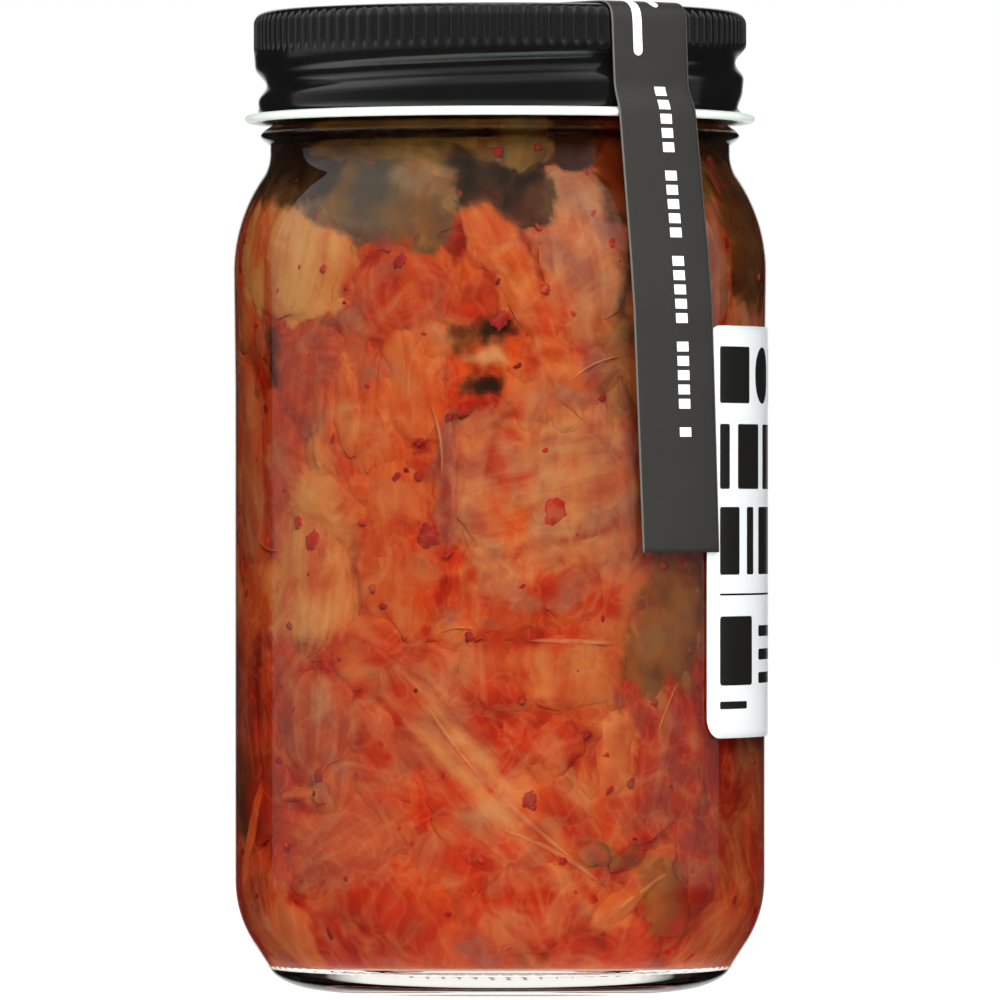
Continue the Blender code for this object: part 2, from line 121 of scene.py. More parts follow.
def inside_outline():
    """The inside of the glass from the middle of its floor to the rim, as rising points (r, z)."""
    body_r = BODY_R - WALL
    share = np.linspace(0.05, 1.0, FLOOR_ROWS)[:, None]
    dome = np.concatenate([FLOOR_EDGE[0] * share, FLOOR_EDGE[1] + FLOOR_DOME * (1.0 - share**2)], axis=1)
    radii = (body_r - FLOOR_EDGE[0], HEEL_TOP_Z - FLOOR_EDGE[1])
    heel = arc((FLOOR_EDGE[0], HEEL_TOP_Z), radii, -90.0, 0.0, 16)
    body = line((body_r, HEEL_TOP_Z), (body_r, SHOULDER_Z), 24)
    upper = shoulder_and_neck(WALL)
    neck = line(upper[-1], (upper[-1][0], RIM_Z - RIM_ROUND[1]), 6)
    return np.concatenate([dome, heel[1:], body[1:], upper[1:], neck[1:]])


def outside_outline():
    """The outside of the glass from its rim to the middle of its base, as falling points (r, z)."""
    rim_z = RIM_Z - RIM_ROUND[1]
    rim = arc(((FINISH_R + NECK_R - WALL) / 2.0, rim_z), RIM_ROUND, 180.0, 0.0, 8)
    finish = line((FINISH_R, rim_z), (FINISH_R, BEAD_Z + BEAD_HALF_H), 24)
    z = np.linspace(1.0, -1.0, 12) * BEAD_HALF_H
    base_r = np.interp(z, (-BEAD_HALF_H, BEAD_HALF_H), (NECK_R, FINISH_R))
    bead = np.stack([base_r + BEAD_OUT * np.cos(z / BEAD_HALF_H * np.pi / 2.0) ** 1.2, BEAD_Z + z], axis=1)
    upper = shoulder_and_neck(0.0)[::-1]
    body = line((BODY_R, SHOULDER_Z), (LOWER_BODY_R, LOWER_BODY_Z), 4)
    body = np.concatenate([body, line((LOWER_BODY_R, LOWER_BODY_Z), (LOWER_BODY_R, HEEL_TOP_Z), 16)[1:]])
    heel = arc((LOWER_BODY_R - HEEL_R, HEEL_TOP_Z), (HEEL_R, HEEL_R), 0.0, -HEEL_TURN, 8)
    corner = arc((FOOT_R, FOOT_CORNER[1]), FOOT_CORNER, -FOOT_CORNER_TURN, -90.0, 18)
    heel = np.concatenate([heel, line(heel[-1], corner[0], 20)[1:-1]])
    foot = [(FOOT_INNER_R, 0.0)]
    share = np.linspace(0.95, 0.06, 10)[:, None]
    push_up = np.concatenate([FOOT_INNER_R * share, PUSH_UP * (1.0 - share**2)], axis=1)
    return np.concatenate([rim[1:], finish[1:], bead[1:], upper, body[1:], heel[1:], corner, foot, push_up])


def turned(outline, columns, first=0.0):
    """Evenly spaced azimuths, and the outline's radii and heights repeated at each of them."""
    azimuths = first + np.arange(columns) * 360.0 / columns
    return azimuths, outline[:, :1] + 0.0 * azimuths, outline[:, 1:] + 0.0 * azimuths


def round_axis(radius, height, azimuth):
    """Points at azimuths round the axis: (r sin a, -r cos a, z), for arrays of equal shape."""
    a = np.radians(azimuth)
    return np.stack([radius * np.sin(a), -radius * np.cos(a), height + 0.0 * a], axis=-1)


def quads_between(near, beside):
    """Faces between the rows of two grids of vertex numbers that are one column apart."""
    return np.stack([near[:-1], near[1:], beside[1:], beside[:-1]], axis=-1).reshape(-1, 4).tolist()


def closed_grid(points, first, last):
    """A grid joined round its columns and closed at both ends by one point each: vertices, faces."""
    rows, columns = points.shape[:2]
    index = np.arange(rows * columns).reshape(rows, columns)
    beside = np.roll(index, -1, axis=1)
    ends = rows * columns + np.array([0, 1])[:, None] + np.zeros(columns, int)
    caps = np.concatenate([
        np.stack([ends[0], index[0], beside[0]], axis=-1),
        np.stack([index[-1], ends[1], beside[-1]], axis=-1),
    ])
    points = np.concatenate([points.reshape(-1, 3), [first, last]])
    return points, quads_between(index, beside) + caps.tolist()


def closed_round_axis(radius, height, azimuths, first_z, last_z):
    """A closed grid round the axis, with its two end points on the axis."""
    return closed_grid(round_axis(radius, height, azimuths), (0.0, 0.0, first_z), (0.0, 0.0, last_z))


def new_piece(name, points, faces, *materials):
    """A smooth-shaded mesh object at the origin, from points in millimetres."""
    mesh = bpy.data.meshes.new(name)
    mesh.from_pydata((np.asarray(points) * MM).tolist(), [], faces)
    for material in materials:
        mesh.materials.append(material)
    mesh.shade_smooth()
    mesh.update()
    piece = bpy.data.objects.new(name, mesh)
    bpy.context.scene.collection.objects.link(piece)
    return piece


def node(tree, kind, inputs=(), **settings):
    """Adds a shader node. inputs maps sockets to values or to other nodes' outputs."""
    made = tree.nodes.new(kind)
    for key, value in settings.items():
        setattr(made, key, value)
    for key, value in dict(inputs).items():
        if isinstance(value, bpy.types.NodeSocket):
            tree.links.new(value, made.inputs[key])
        else:
            made.inputs[key].default_value = value
    return made


def new_material(name, sockets=()):
    """A new material, its tree, and its Principled shader with values on its own sockets."""
    material = bpy.data.materials.new(name)
    material.use_nodes = True
    shader = material.node_tree.nodes["Principled BSDF"]
    for key, value in dict(sockets).items():
        shader.inputs[key].default_value = value
    return material, material.node_tree, shader


def rgb(red, green, blue):
    """Linear colour from screen values 0 to 255, by the sRGB curve."""
    c = np.array([red, green, blue]) / 255.0
    return (*np.where(c <= 0.04045, c / 12.92, ((c + 0.055) / 1.055) ** 2.4), 1.0)


def noise(tree, scale, detail=3.0, roughness=0.5, distortion=0.0, vector=None):
    """Noise with this many cells to the metre of the object, or to the unit of another vector."""
    if vector is None:
        vector = node(tree, "ShaderNodeTexCoord").outputs["Object"]
    made = node(tree, "ShaderNodeTexNoise", {
        "Vector": vector, "Scale": scale, "Detail": detail, "Roughness": roughness, "Distortion": distortion,
    })
    return made.outputs["Fac"]


def add_bump(tree, shader, height, strength, depth):
    """Raises a shader's surface by a height socket; the depth is in millimetres."""
    bump = node(tree, "ShaderNodeBump", {"Height": height, "Strength": strength, "Distance": depth * MM})
    tree.links.new(bump.outputs[0], shader.inputs["Normal"])


def glass_material(name, index):
    """Clear glass with faint waves, as the mould leaves them, and its index against what it touches."""
    material, tree, shader = new_material(name, {
        "Base Color": rgb(250, 254, 252), "Roughness": 0.0, "IOR": index, "Transmission Weight": 1.0,
    })
    add_bump(tree, shader, noise(tree, 60.0, 2.0), 0.05, 0.4)
    # Lamp rays pass straight through, so that what the glass holds is lit without noise
    is_lamp_ray = node(tree, "ShaderNodeLightPath").outputs["Is Shadow Ray"]
    passing = node(tree, "ShaderNodeBsdfTransparent", {"Color": rgb(250, 252, 251)}).outputs[0]
    mix = node(tree, "ShaderNodeMixShader", {0: is_lamp_ray, 1: shader.outputs[0], 2: passing})
    tree.links.new(mix.outputs[0], tree.nodes["Material Output"].inputs["Surface"])
    return material


def stippled_glass():
    """The knurled ring: stippled glass that scatters light and so looks white."""
    material, tree, shader = new_material("stippled_glass", {
        "Base Color": rgb(246, 240, 236), "Roughness": 0.35, "IOR": GLASS_INDEX, "Transmission Weight": 0.35,
    })
    add_bump(tree, shader, noise(tree, 900.0, 2.0), 0.4, 0.2)
    return material


inner = inside_outline()
outer = outside_outline()
outline = np.concatenate([inner, outer])
azimuths, radius, height = turned(outline, GLASS_COLUMNS)
outside = (np.arange(len(outline)) >= len(inner))[:, None]
first_lap = ((THREAD_START[0] - azimuths) / 360.0) % 1.0
for lap in (first_lap, first_lap + 1.0):
    ends = np.clip(lap / GLASS_THREAD_FADE, 0.0, 1.0)
    ends = ends * np.clip((GLASS_THREAD_TURNS - lap) / GLASS_THREAD_FADE, 0.0, 1.0)
    crest = THREAD_START[1] - THREAD_PITCH * (lap - GLASS_THREAD_LIFT)
    ridge = GLASS_THREAD_OUT * ends * raised(height, crest, GLASS_THREAD_HALF_H)
    radius += np.where(outside & (radius > NECK_BORE_R), ridge, 0.0)
# Fine knurling round the foot, which shows as a row of small scallops
knurl = KNURL_OUT * raised(height, KNURL_Z, KNURL_HALF_H) * (0.5 + 0.5 * np.cos(azimuths * np.pi / 2.0))
radius += np.where(outside & (radius > FOOT_FACE_R), knurl, 0.0)
# The inside of a blown jar is never quite round
sway = 0.07 * np.sin(np.radians(3.0 * azimuths + 20.0))
sway = sway + 0.05 * np.sin(np.radians(5.0 * azimuths + 6.0 * height))
radius += np.where(~outside & (height > 8.0), sway, 0.0)
points, faces = closed_round_axis(radius, height, azimuths, FLOOR_EDGE[1] + FLOOR_DOME, PUSH_UP)
dry_glass = glass_material("clear_glass", GLASS_INDEX)
wet_glass = glass_material("wet_glass", GLASS_INDEX / BRINE_INDEX)
foot_glass = glass_material("foot_glass", FOOT_INDEX)
glass = new_piece("jar_glass", points, faces, dry_glass, wet_glass, stippled_glass(), foot_glass)
# The wall is wet from the floor's edge up to the brine. The floor stays dry, with a film of air on it,
# which makes it shine as a thick base does, and the foot's outer face bends light less, so that the
# pale table shows through it as a clear band.
finishes = np.zeros((len(outline) + 1, GLASS_COLUMNS), np.int32)
finishes[FLOOR_ROWS:(inner[:, 1] < BRINE_TOP_Z).sum() - 1] = 1
above_knurl = outside[:, 0] & (outline[:, 0] > FOOT_FACE_R) & (outline[:, 1] > KNURL_Z - 0.01)
knurl_row = np.nonzero(above_knurl)[0].max()
finishes[knurl_row] = 2
finishes[knurl_row + 1:np.nonzero(outside[:, 0] & (outline[:, 0] > FOOT_R))[0].max()] = 3
glass.data.polygons.foreach_set("material_index", finishes.ravel())
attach(glass, "root")
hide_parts("glass_jar")


# Lid: one pressed cap of thin steel, black gloss enamel outside. Its top edge is fluted for grip, its
# skirt carries a rolled thread, and its hem is curled outwards, where the white inside coat shows.
LID_TOP_Z = 142.9
LID_R = 36.04
LID_BOTTOM_R = 35.35
LID_CORNER_R = 1.8
LID_SHEET = 0.5
LID_PANEL_R = 29.5
LID_PANEL_DROP = 0.4
LID_UNDERSIDE_DROP = 0.95
SKIRT_END_Z = 128.8
SKIRT_TAPER_Z = 136.4
CURL_TIP_R = 37.3
CURL_Z = 127.3
CURL_HALF_H = 0.62
FLUTES = 120
FLUTE_Z = (137.2, 141.9)
FLUTE_DEPTH = 0.42
FLUTE_HALF_W = 0.30
FLUTE_CROWN = 0.06
ROLLED_DEPTH = 1.45
ROLLED_HALF_W = 2.6
ROLLED_TURNS = 1.25
ROLLED_TOP_Z = 138.5
LID_COLUMNS = FLUTES * 8


def ease(low, high, value):
    """A smooth step from 0 at low to 1 at high: 3t^2 - 2t^3."""
    t = np.clip((value - low) / (high - low), 0.0, 1.0)
    return t * t * (3.0 - 2.0 * t)


def rolled_thread(azimuth, z):
    """How far the skirt is pressed in: a raised cosine across a right-hand helix, faded at its ends."""
    depth = 0.0 * (azimuth + z)
    first = ((THREAD_START[0] - azimuth) / 360.0) % 1.0
    for lap in (first, first + 1.0):
        strength = ease(0.0, 0.08, lap) * (1.0 - ease(0.95, ROLLED_TURNS, lap))
        groove = raised(z, THREAD_START[1] - THREAD_PITCH * lap, ROLLED_HALF_W)
        depth = np.maximum(depth, ROLLED_DEPTH * strength * groove)
    return depth


def mixed(tree, factor, first, second, blend="MIX"):
    """A colour mix; each side is a colour or a socket."""
    made = node(
        tree, "ShaderNodeMix", {"Factor": factor, 6: first, 7: second}, data_type="RGBA", blend_type=blend
    )
    return made.outputs[2]


def ranged(tree, value, low, high, to_low=0.0, to_high=1.0):
    """Maps a value from one range to another and holds it there."""
    return node(
        tree, "ShaderNodeMapRange",
        {"Value": value, "From Min": low, "From Max": high, "To Min": to_low, "To Max": to_high},
    ).outputs[0]


def black_enamel():
    """Stoved gloss enamel on steel: nearly black, with a faint orange peel and a little wear."""
    material, tree, shader = new_material(
        "black_enamel", {"Base Color": (0.004, 0.004, 0.004, 1.0), "IOR": 1.75}
    )
    wear = ranged(tree, noise(tree, 120.0, 4.0), 0.3, 0.7, 0.12, 0.2)
    tree.links.new(wear, shader.inputs["Roughness"])
    add_bump(tree, shader, noise(tree, 900.0, 2.0), 0.08, 0.1)
    return material


def white_coat():
    """The white lacquer inside the cap, which shows on the curled hem; very faintly green."""
    material, tree, shader = new_material("white_coat", {"Roughness": 0.3})
    colour = mixed(tree, noise(tree, 260.0), rgb(206, 218, 210), rgb(226, 234, 227))
    tree.links.new(colour, shader.inputs["Base Color"])
    return material


corner = arc((LID_R - LID_CORNER_R, LID_TOP_Z - LID_CORNER_R), (LID_CORNER_R,) * 2, 90.0, 0.0, 7)
# The panel's points are radii with shares of its drop, first in its middle and then at its edge
panel = np.array([(-1.2, 1.0), (-0.4, 0.7), (0.2, 0.1), (0.8, 0.0), (3.0, 0.0)]) + (LID_PANEL_R, 0.0)
panel = np.concatenate([[(6.0, 1.0), (18.0, 1.0)], panel]) * (1.0, -LID_PANEL_DROP) + (0.0, LID_TOP_Z)
skirt_top = LID_TOP_Z - LID_CORNER_R
skirt_z = np.append(
    np.linspace(skirt_top - 0.3, SKIRT_TAPER_Z, 11), np.linspace(SKIRT_TAPER_Z - 0.3, SKIRT_END_Z, 24)
)
skirt_r = np.interp(skirt_z, (SKIRT_END_Z, SKIRT_TAPER_Z), (LID_BOTTOM_R, LID_R))
skirt = np.stack([skirt_r, skirt_z], axis=1)
curl = np.concatenate([
    [(LID_BOTTOM_R + 0.12, CURL_Z + CURL_HALF_H + 0.12)],
    arc((CURL_TIP_R - 0.8, CURL_Z), (0.8, CURL_HALF_H), 100.0, -100.0, 9),
    [(LID_BOTTOM_R - LID_SHEET, CURL_Z - 0.75 * CURL_HALF_H)],
])
inside_z = np.linspace(SKIRT_END_Z - 0.5, 137.0, 16)
inside_r = np.interp(inside_z, (SKIRT_END_Z - 0.5, 137.0), (LID_BOTTOM_R - LID_SHEET, LID_R - 0.6))
underside_z = LID_TOP_Z - LID_UNDERSIDE_DROP
inside = np.concatenate([np.stack([inside_r, inside_z], axis=1), [
    (LID_R - LID_UNDERSIDE_DROP, 138.2),
    (LID_R - LID_UNDERSIDE_DROP, 141.0),
    (LID_R - 2.0, underside_z),
    (8.0, underside_z),
]])
outline = np.concatenate([panel, corner, skirt, curl, inside])
azimuths, radius, height = turned(outline, LID_COLUMNS)
row = np.arange(len(outline))[:, None]
curl_row = len(panel) + len(corner) + len(skirt)
on_skirt = (row >= len(panel)) & (row < curl_row)
rolled = on_skirt | ((row > curl_row + len(curl)) & (height < ROLLED_TOP_Z))
radius -= np.where(rolled, rolled_thread(azimuths, height), 0.0)
gap = np.abs((azimuths / 360.0 * FLUTES) % 1.0 - 0.5) * 2.0
groove = np.exp(-(((1.0 - gap) / FLUTE_HALF_W) ** 2))
reach = ease(FLUTE_Z[0] - 0.5, FLUTE_Z[0] + 0.5, height)
reach = reach * (1.0 - ease(FLUTE_Z[1] - 0.4, FLUTE_Z[1] + 0.7, height))
radius -= np.where(on_skirt, FLUTE_DEPTH * groove * reach, 0.0)
crown = FLUTE_CROWN * np.cos(np.pi * gap * 0.5) * reach
radius += np.where(on_skirt, crown - FLUTE_CROWN, 0.0)
points, faces = closed_round_axis(radius, height, azimuths, LID_TOP_Z - LID_PANEL_DROP, underside_z)
lid = new_piece("lid_cap", points, faces, black_enamel(), white_coat())
coat = np.zeros((len(outline) + 1, LID_COLUMNS), np.int32)
coat[curl_row:-2] = 1
coat[-1] = 1
lid.data.polygons.foreach_set("material_index", coat.ravel())
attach(lid, "root")
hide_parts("lid")


# Seal strip: one straight band of dark grey paper, glued over the lid and down the shoulder on both
# sides, a little askew. It is printed with plain white dashes and bars.
STRIP_W = 13.4
STRIP_SHEET = 0.2
STRIP_AZIMUTH = 36.7
STRIP_SLANT = 0.040
STRIP_END_Z = 63.6
STRIP_CLEAR = 0.25
STRIP_BODY_R = 39.65
CUT_EDGE = 0.22
DASH_PITCH = 2.05
DASH_HALF = 0.34
DASH_GROUP = 6.0
DASHES_ACROSS = (-0.1, 1.9)
DASHES_ALONG = (45.0, 98.0)
# Left, right, start, end and corner radius of each bar, from the middle of the strip
BARS = ((-3.35, -1.85, 14.0, 43.0, 0.75), (0.45, 1.95, 14.0, 36.0, 0.75))


def rounded_path(corners, ease_length, step):
    """A path through corner points, evenly resampled and then smoothed by a moving mean."""
    gaps = np.hypot(*np.diff(corners, axis=0).T)
    total = np.concatenate([[0.0], np.cumsum(gaps)])
    s = np.arange(0.0, total[-1], step)
    path = np.stack([np.interp(s, total, corners[:, k]) for k in (0, 1)], axis=1)
    width = max(1, int(ease_length / step / 2.0)) * 2 + 1
    padded = np.concatenate([
        2.0 * path[0] - path[width // 2:0:-1], path, 2.0 * path[-1] - path[-2:-2 - width // 2:-1]
    ])
    kernel = np.ones(width) / width
    return np.stack([np.convolve(padded[:, k], kernel, "valid") for k in (0, 1)], axis=1)


def calc(tree, operation, a, b=0.0):
    """One step of arithmetic on sockets or numbers."""
    return node(tree, "ShaderNodeMath", {0: a, 1: b}, operation=operation).outputs[0]


def print_place(tree):
    """Across and along a printed sheet in millimetres, from its Print map."""
    split = node(tree, "ShaderNodeSeparateXYZ", {0: node(tree, "ShaderNodeUVMap", uv_map="Print").outputs[0]})
    return split.outputs["X"], split.outputs["Y"]


def inked(tree, across, along, boxes):
    """1 inside any rounded box, 0 outside: the distance past the inner core of each is compared.

    A box is its two sides, its two ends and its corner radius.
    """
    ink = 0.0
    for left, right, start, end, radius in boxes:
        squares = []
        for socket, low, high in ((across, left, right), (along, start, end)):
            off = calc(tree, "ABSOLUTE", calc(tree, "SUBTRACT", socket, (low + high) / 2.0))
            past = calc(tree, "MAXIMUM", calc(tree, "SUBTRACT", off, (high - low) / 2.0 - radius), 0.0)
            squares.append(calc(tree, "MULTIPLY", past, past))
        box = calc(tree, "LESS_THAN", calc(tree, "SQRT", calc(tree, "ADD", *squares)), radius)
        ink = calc(tree, "MAXIMUM", ink, box)
    return ink


def strip_paper():
    """Satin dark grey paper with lighter cut edges; white dashes run down it, two bars cross the lid."""
    material, tree, shader = new_material("strip_paper", {"Roughness": 0.5})
    across, along = print_place(tree)
    # A line of short dashes in groups: every sixth place is empty
    pace = calc(tree, "DIVIDE", along, DASH_PITCH)
    share = calc(tree, "ABSOLUTE", calc(tree, "SUBTRACT", calc(tree, "FRACT", pace), 0.5))
    place = calc(tree, "MODULO", calc(tree, "ADD", calc(tree, "FLOOR", pace), 2.0), DASH_GROUP)
    dash = 1.0
    for value, relation, limit in (
        (share, "LESS_THAN", DASH_HALF), (place, "GREATER_THAN", 0.5),
        (across, "GREATER_THAN", DASHES_ACROSS[0]), (across, "LESS_THAN", DASHES_ACROSS[1]),
        (along, "GREATER_THAN", DASHES_ALONG[0]), (along, "LESS_THAN", DASHES_ALONG[1]),
    ):
        dash = calc(tree, "MULTIPLY", dash, calc(tree, relation, value, limit))
    ink = calc(tree, "MAXIMUM", dash, inked(tree, across, along, BARS))
    edge = calc(tree, "GREATER_THAN", calc(tree, "ABSOLUTE", across), STRIP_W / 2.0 - CUT_EDGE)
    fibre = noise(tree, 1400.0, 3.0, 0.6)
    tone = calc(tree, "MULTIPLY", calc(tree, "ADD", fibre, noise(tree, 60.0, 2.0)), 0.5)
    colour = mixed(tree, tone, rgb(36, 36, 34), rgb(49, 48, 45))
    colour = mixed(tree, calc(tree, "MULTIPLY", edge, 0.5), colour, rgb(120, 118, 113))
    colour = mixed(tree, ink, colour, rgb(238, 238, 240))
    tree.links.new(colour, shader.inputs["Base Color"])
    add_bump(tree, shader, fibre, 0.15, 0.05)
    return material


def set_uv(piece, name, uv):
    """Writes a UV map from one pair of values for each vertex."""
    corners = np.zeros(len(piece.data.loops), np.int32)
    piece.data.loops.foreach_get("vertex_index", corners)
    layer = piece.data.uv_layers.new(name=name)
    layer.data.foreach_set("uv", uv.reshape(-1, 2)[corners].astype(np.float32).ravel())


def new_sheet(name, points, print_uv, thickness, material):
    """A sheet from an open grid with its Print map, thickened on the side that its faces point to."""
    index = np.arange(points[..., 0].size).reshape(points.shape[:2])
    sheet = new_piece(name, points.reshape(-1, 3), quads_between(index[:, :-1], index[:, 1:]), material)
    set_uv(sheet, "Print", print_uv)
    solid = sheet.modifiers.new("Sheet", "SOLIDIFY")
    solid.thickness = thickness * MM
    solid.offset = 1.0
    return sheet


corner_r = LID_CORNER_R + STRIP_CLEAR
path = np.concatenate([
    [(0.0, LID_TOP_Z + STRIP_CLEAR), (LID_R - LID_CORNER_R - 1.0, LID_TOP_Z + STRIP_CLEAR)],
    arc((LID_R - LID_CORNER_R, LID_TOP_Z - LID_CORNER_R), (corner_r,) * 2, 90.0, 0.0, 6),
    [
        (LID_R + STRIP_CLEAR, CURL_Z + 3.6),
        (CURL_TIP_R + STRIP_CLEAR, CURL_Z + 0.4),
        (BODY_R + 0.2, SHOULDER_Z + 2.2),
        (STRIP_BODY_R, 98.8),
        (STRIP_BODY_R, STRIP_END_Z),
    ],
])
half_path = rounded_path(path, 1.0, 0.7)
half_length = np.concatenate([[0.0], np.cumsum(np.hypot(*np.diff(half_path, axis=0).T))])
full_path = np.concatenate([half_path[:0:-1], half_path])
side = np.concatenate([-np.ones(len(half_path) - 1), np.ones(len(half_path))])[:, None]
along = (np.concatenate([half_length[:0:-1], half_length]))[:, None] * side
edge_length = np.interp(LID_R, half_path[:, 0], half_length)
columns = np.linspace(-1.0, 1.0, 25)[None, :]
across = columns * STRIP_W / 2.0 + STRIP_SLANT * (along - edge_length)
r, z = full_path[:, :1], full_path[:, 1:]
sag = (LID_R - np.sqrt(LID_R**2 - across**2)) * np.minimum(1.0, r / LID_R) ** 4
swing = np.arcsin(across / LID_R)
flat_x = np.where(r < LID_R, side * (r - sag), side * r * np.cos(swing))
flat_y = np.where(r < LID_R, across, r * np.sin(swing))
turn = np.radians(STRIP_AZIMUTH - 90.0)
points = np.stack([
    flat_x * np.cos(turn) - flat_y * np.sin(turn),
    flat_x * np.sin(turn) + flat_y * np.cos(turn),
    z + 0.0 * across,
], axis=-1)
strip_uv = np.stack([columns * STRIP_W / 2.0 + 0.0 * along, along + 0.0 * columns], axis=-1)
strip = new_sheet("seal_strip_paper", points, strip_uv, STRIP_SHEET, strip_paper())
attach(strip, "root")
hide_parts("seal_strip")


# Side label: glossy white paper with round corners, glued round the right-hand side of the body. Its
# print is plain black blocks and bars.
LABEL_AZIMUTHS = (49.6, 150.0)
LABEL_Z = (37.2, 96.8)
LABEL_CORNER_R = 3.0
LABEL_SHEET = 0.15
LABEL_R = 39.08
# The bottom and top of each row of print, and the left, right and corner radius of each block in it
PRINT_ROWS = (
    (48.4, 56.6, ((3, 12, 0.4), (14.5, 22, 3.7), (24.5, 42, 0.4), (44.5, 52, 3.7), (54.5, 66, 0.4))),
    (36, 45.4, ((3, 5.6, 0.4), (8, 16, 0.4), (18.5, 30, 0.4), (32.5, 41, 4.2), (43.5, 66, 0.4))),
    (23.6, 33.4, ((3, 8.5, 0.4), (11, 13.6, 0.4), (16, 36, 0.4), (38.5, 47.5, 4.4), (50, 66, 0.4))),
    (20.6, 20.9, ((3, 66, 0.1),)),
    (7.6, 17.6, ((3, 13, 0.6),)),
    (4.2, 5.3, ((3, 11, 0.3),)),
    (14.6, 16.2, ((16, 40, 0.4),)),
    (11.2, 12.8, ((16, 50, 0.4),)),
    (7.8, 9.4, ((16, 44, 0.4),)),
)


def label_paper():
    """Coated white paper with plain black print."""
    material, tree, shader = new_material("label_paper", {"Roughness": 0.22})
    mottle = noise(tree, 90.0, 4.0)
    colour = mixed(tree, mottle, rgb(214, 219, 222), rgb(224, 227, 228))
    blocks = [
        (left, right, bottom, top, radius)
        for bottom, top, row in PRINT_ROWS for left, right, radius in row
    ]
    colour = mixed(tree, inked(tree, *print_place(tree), blocks), colour, rgb(26, 25, 24))
    tree.links.new(colour, shader.inputs["Base Color"])
    add_bump(tree, shader, mottle, 0.08, 0.1)
    return material


label_width = LABEL_R * np.radians(LABEL_AZIMUTHS[1] - LABEL_AZIMUTHS[0])
corner = LABEL_CORNER_R * (1.0 - np.cos(np.radians(np.linspace(0.0, 90.0, 10))))
plain = np.linspace(LABEL_CORNER_R, label_width - LABEL_CORNER_R, 92)[1:-1]
across = np.concatenate([corner, plain, label_width - corner[::-1]])[None, :]
into = np.minimum(LABEL_CORNER_R, np.minimum(across, label_width - across))
drop = LABEL_CORNER_R - np.sqrt(LABEL_CORNER_R**2 - (LABEL_CORNER_R - into) ** 2)
share = np.linspace(1.0, -1.0, 41)[:, None]
half_h = (LABEL_Z[1] - LABEL_Z[0]) / 2.0
z = (LABEL_Z[0] + LABEL_Z[1]) / 2.0 + share * (half_h - drop)
azimuth = LABEL_AZIMUTHS[0] + np.degrees(across / LABEL_R)
points = round_axis(LABEL_R + 0.0 * z, z, azimuth + 0.0 * z)
label_uv = np.stack([across + 0.0 * z, z - LABEL_Z[0]], axis=-1)
label = new_sheet("side_label_paper", points, label_uv, LABEL_SHEET, label_paper())
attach(label, "root")
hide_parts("label")


# Kimchi, its plan: which stem, leaf and smear of chilli paste lies where on the glass. The forms are
# painted in their order on a sheet round the wall with soft edges, as wet cabbage is half clear, and
# every piece of the filling takes its colour from that sheet.
SHEET_RISE = 0.35
SHEET_Z = np.arange(3.0, 131.0, SHEET_RISE)
SHEET_STEP = 0.4
SHEET_AZIMUTHS = np.arange(0.0, 360.0, SHEET_STEP)
PASTE_TONES = ((150, 30, 14), (206, 50, 18), (220, 84, 40), (214, 112, 76), (196, 124, 100))
STEM_TONES = ((234, 182, 112), (228, 156, 88), (218, 134, 84), (198, 122, 92), (158, 108, 98))
LEAF_TONES = ((232, 156, 92), (226, 122, 60), (220, 96, 40), (206, 88, 56), (162, 88, 82))
GREEN_TONES = ((88, 82, 66), (140, 104, 40), (92, 66, 28), (58, 38, 18), (30, 19, 10))
GLOW_TONES = ((246, 206, 150), (244, 150, 70), (236, 112, 36), (222, 84, 22), (200, 66, 18))
NECK_BROWN = (66, 40, 24)
SMALLEST_WALL_R = 29.0
RIM_PALE = (240, 170, 120)
RIM_SHADOW = np.array((0.35, 0.8, 0.85))
LOWER_DARKENING = np.array((0.13, 0.52, 0.60))


def waves(points, wavelength, seed, count=10):
    """Smooth noise of about -1 to 1: a sum of cosines with drawn directions, paces and phases."""
    rng = np.random.default_rng(seed)
    direction = rng.normal(size=(count, points.shape[-1]))
    direction /= np.linalg.norm(direction, axis=1, keepdims=True)
    pace = direction * 2.0 * np.pi / wavelength * rng.uniform(0.6, 1.6, (count, 1))
    phase = rng.uniform(0.0, 2.0 * np.pi, count)
    return np.cos(points @ pace.T + phase).sum(axis=-1) / np.sqrt(count)


def wall_radius(z):
    """The inside radius of the glass at a height, read from its outline above the floor's edge."""
    return np.interp(z, inner[FLOOR_ROWS:, 1], inner[FLOOR_ROWS:, 0])


def tone_colour(tones, tone):
    """Linear colour between a kind's tones, from 0 for the first to 1 for the last."""
    steps = np.linspace(0.0, 1.0, len(tones))
    linear = np.array([rgb(*t)[:3] for t in tones])
    return np.stack([np.interp(tone, steps, linear[:, k]) for k in range(3)], axis=-1)


def form(azimuth, z, width, length, tilt, tone, depth=0.4, **shape):
    """One flat piece on the wall: its middle, size, tilt from upright, tone and depth in the brine."""
    return dict(azimuth=azimuth, z=z, width=width, length=length, tilt=tilt, tone=tone, depth=depth, **shape)


def table(columns, rows, **shape):
    """One form for each row, whose numbers the columns name; a row may leave out the last ones."""
    return [form(**dict(zip(columns.split(), row)), **shape) for row in rows]


def scattered(count, seed, azimuths, heights, widths, lengths, tilts, depths, tones, **shape):
    """Forms spread evenly by the golden ratio over a range of azimuths and heights, sizes drawn."""
    rng = np.random.default_rng(seed)
    forms = []
    for n in range(count):
        share = (n * 0.618034 + 0.37) % 1.0
        azimuth = azimuths[0] + (azimuths[1] - azimuths[0]) * share + rng.uniform(-4.0, 4.0)
        z = heights[0] + (heights[1] - heights[0]) * (n + 0.5) / count
        forms.append(form(
            azimuth, z, rng.uniform(*widths), rng.uniform(*lengths), rng.normal(0.0, tilts),
            rng.uniform(*tones), rng.uniform(*depths), seed=seed + 7 * n + 1, **shape
        ))
    return forms


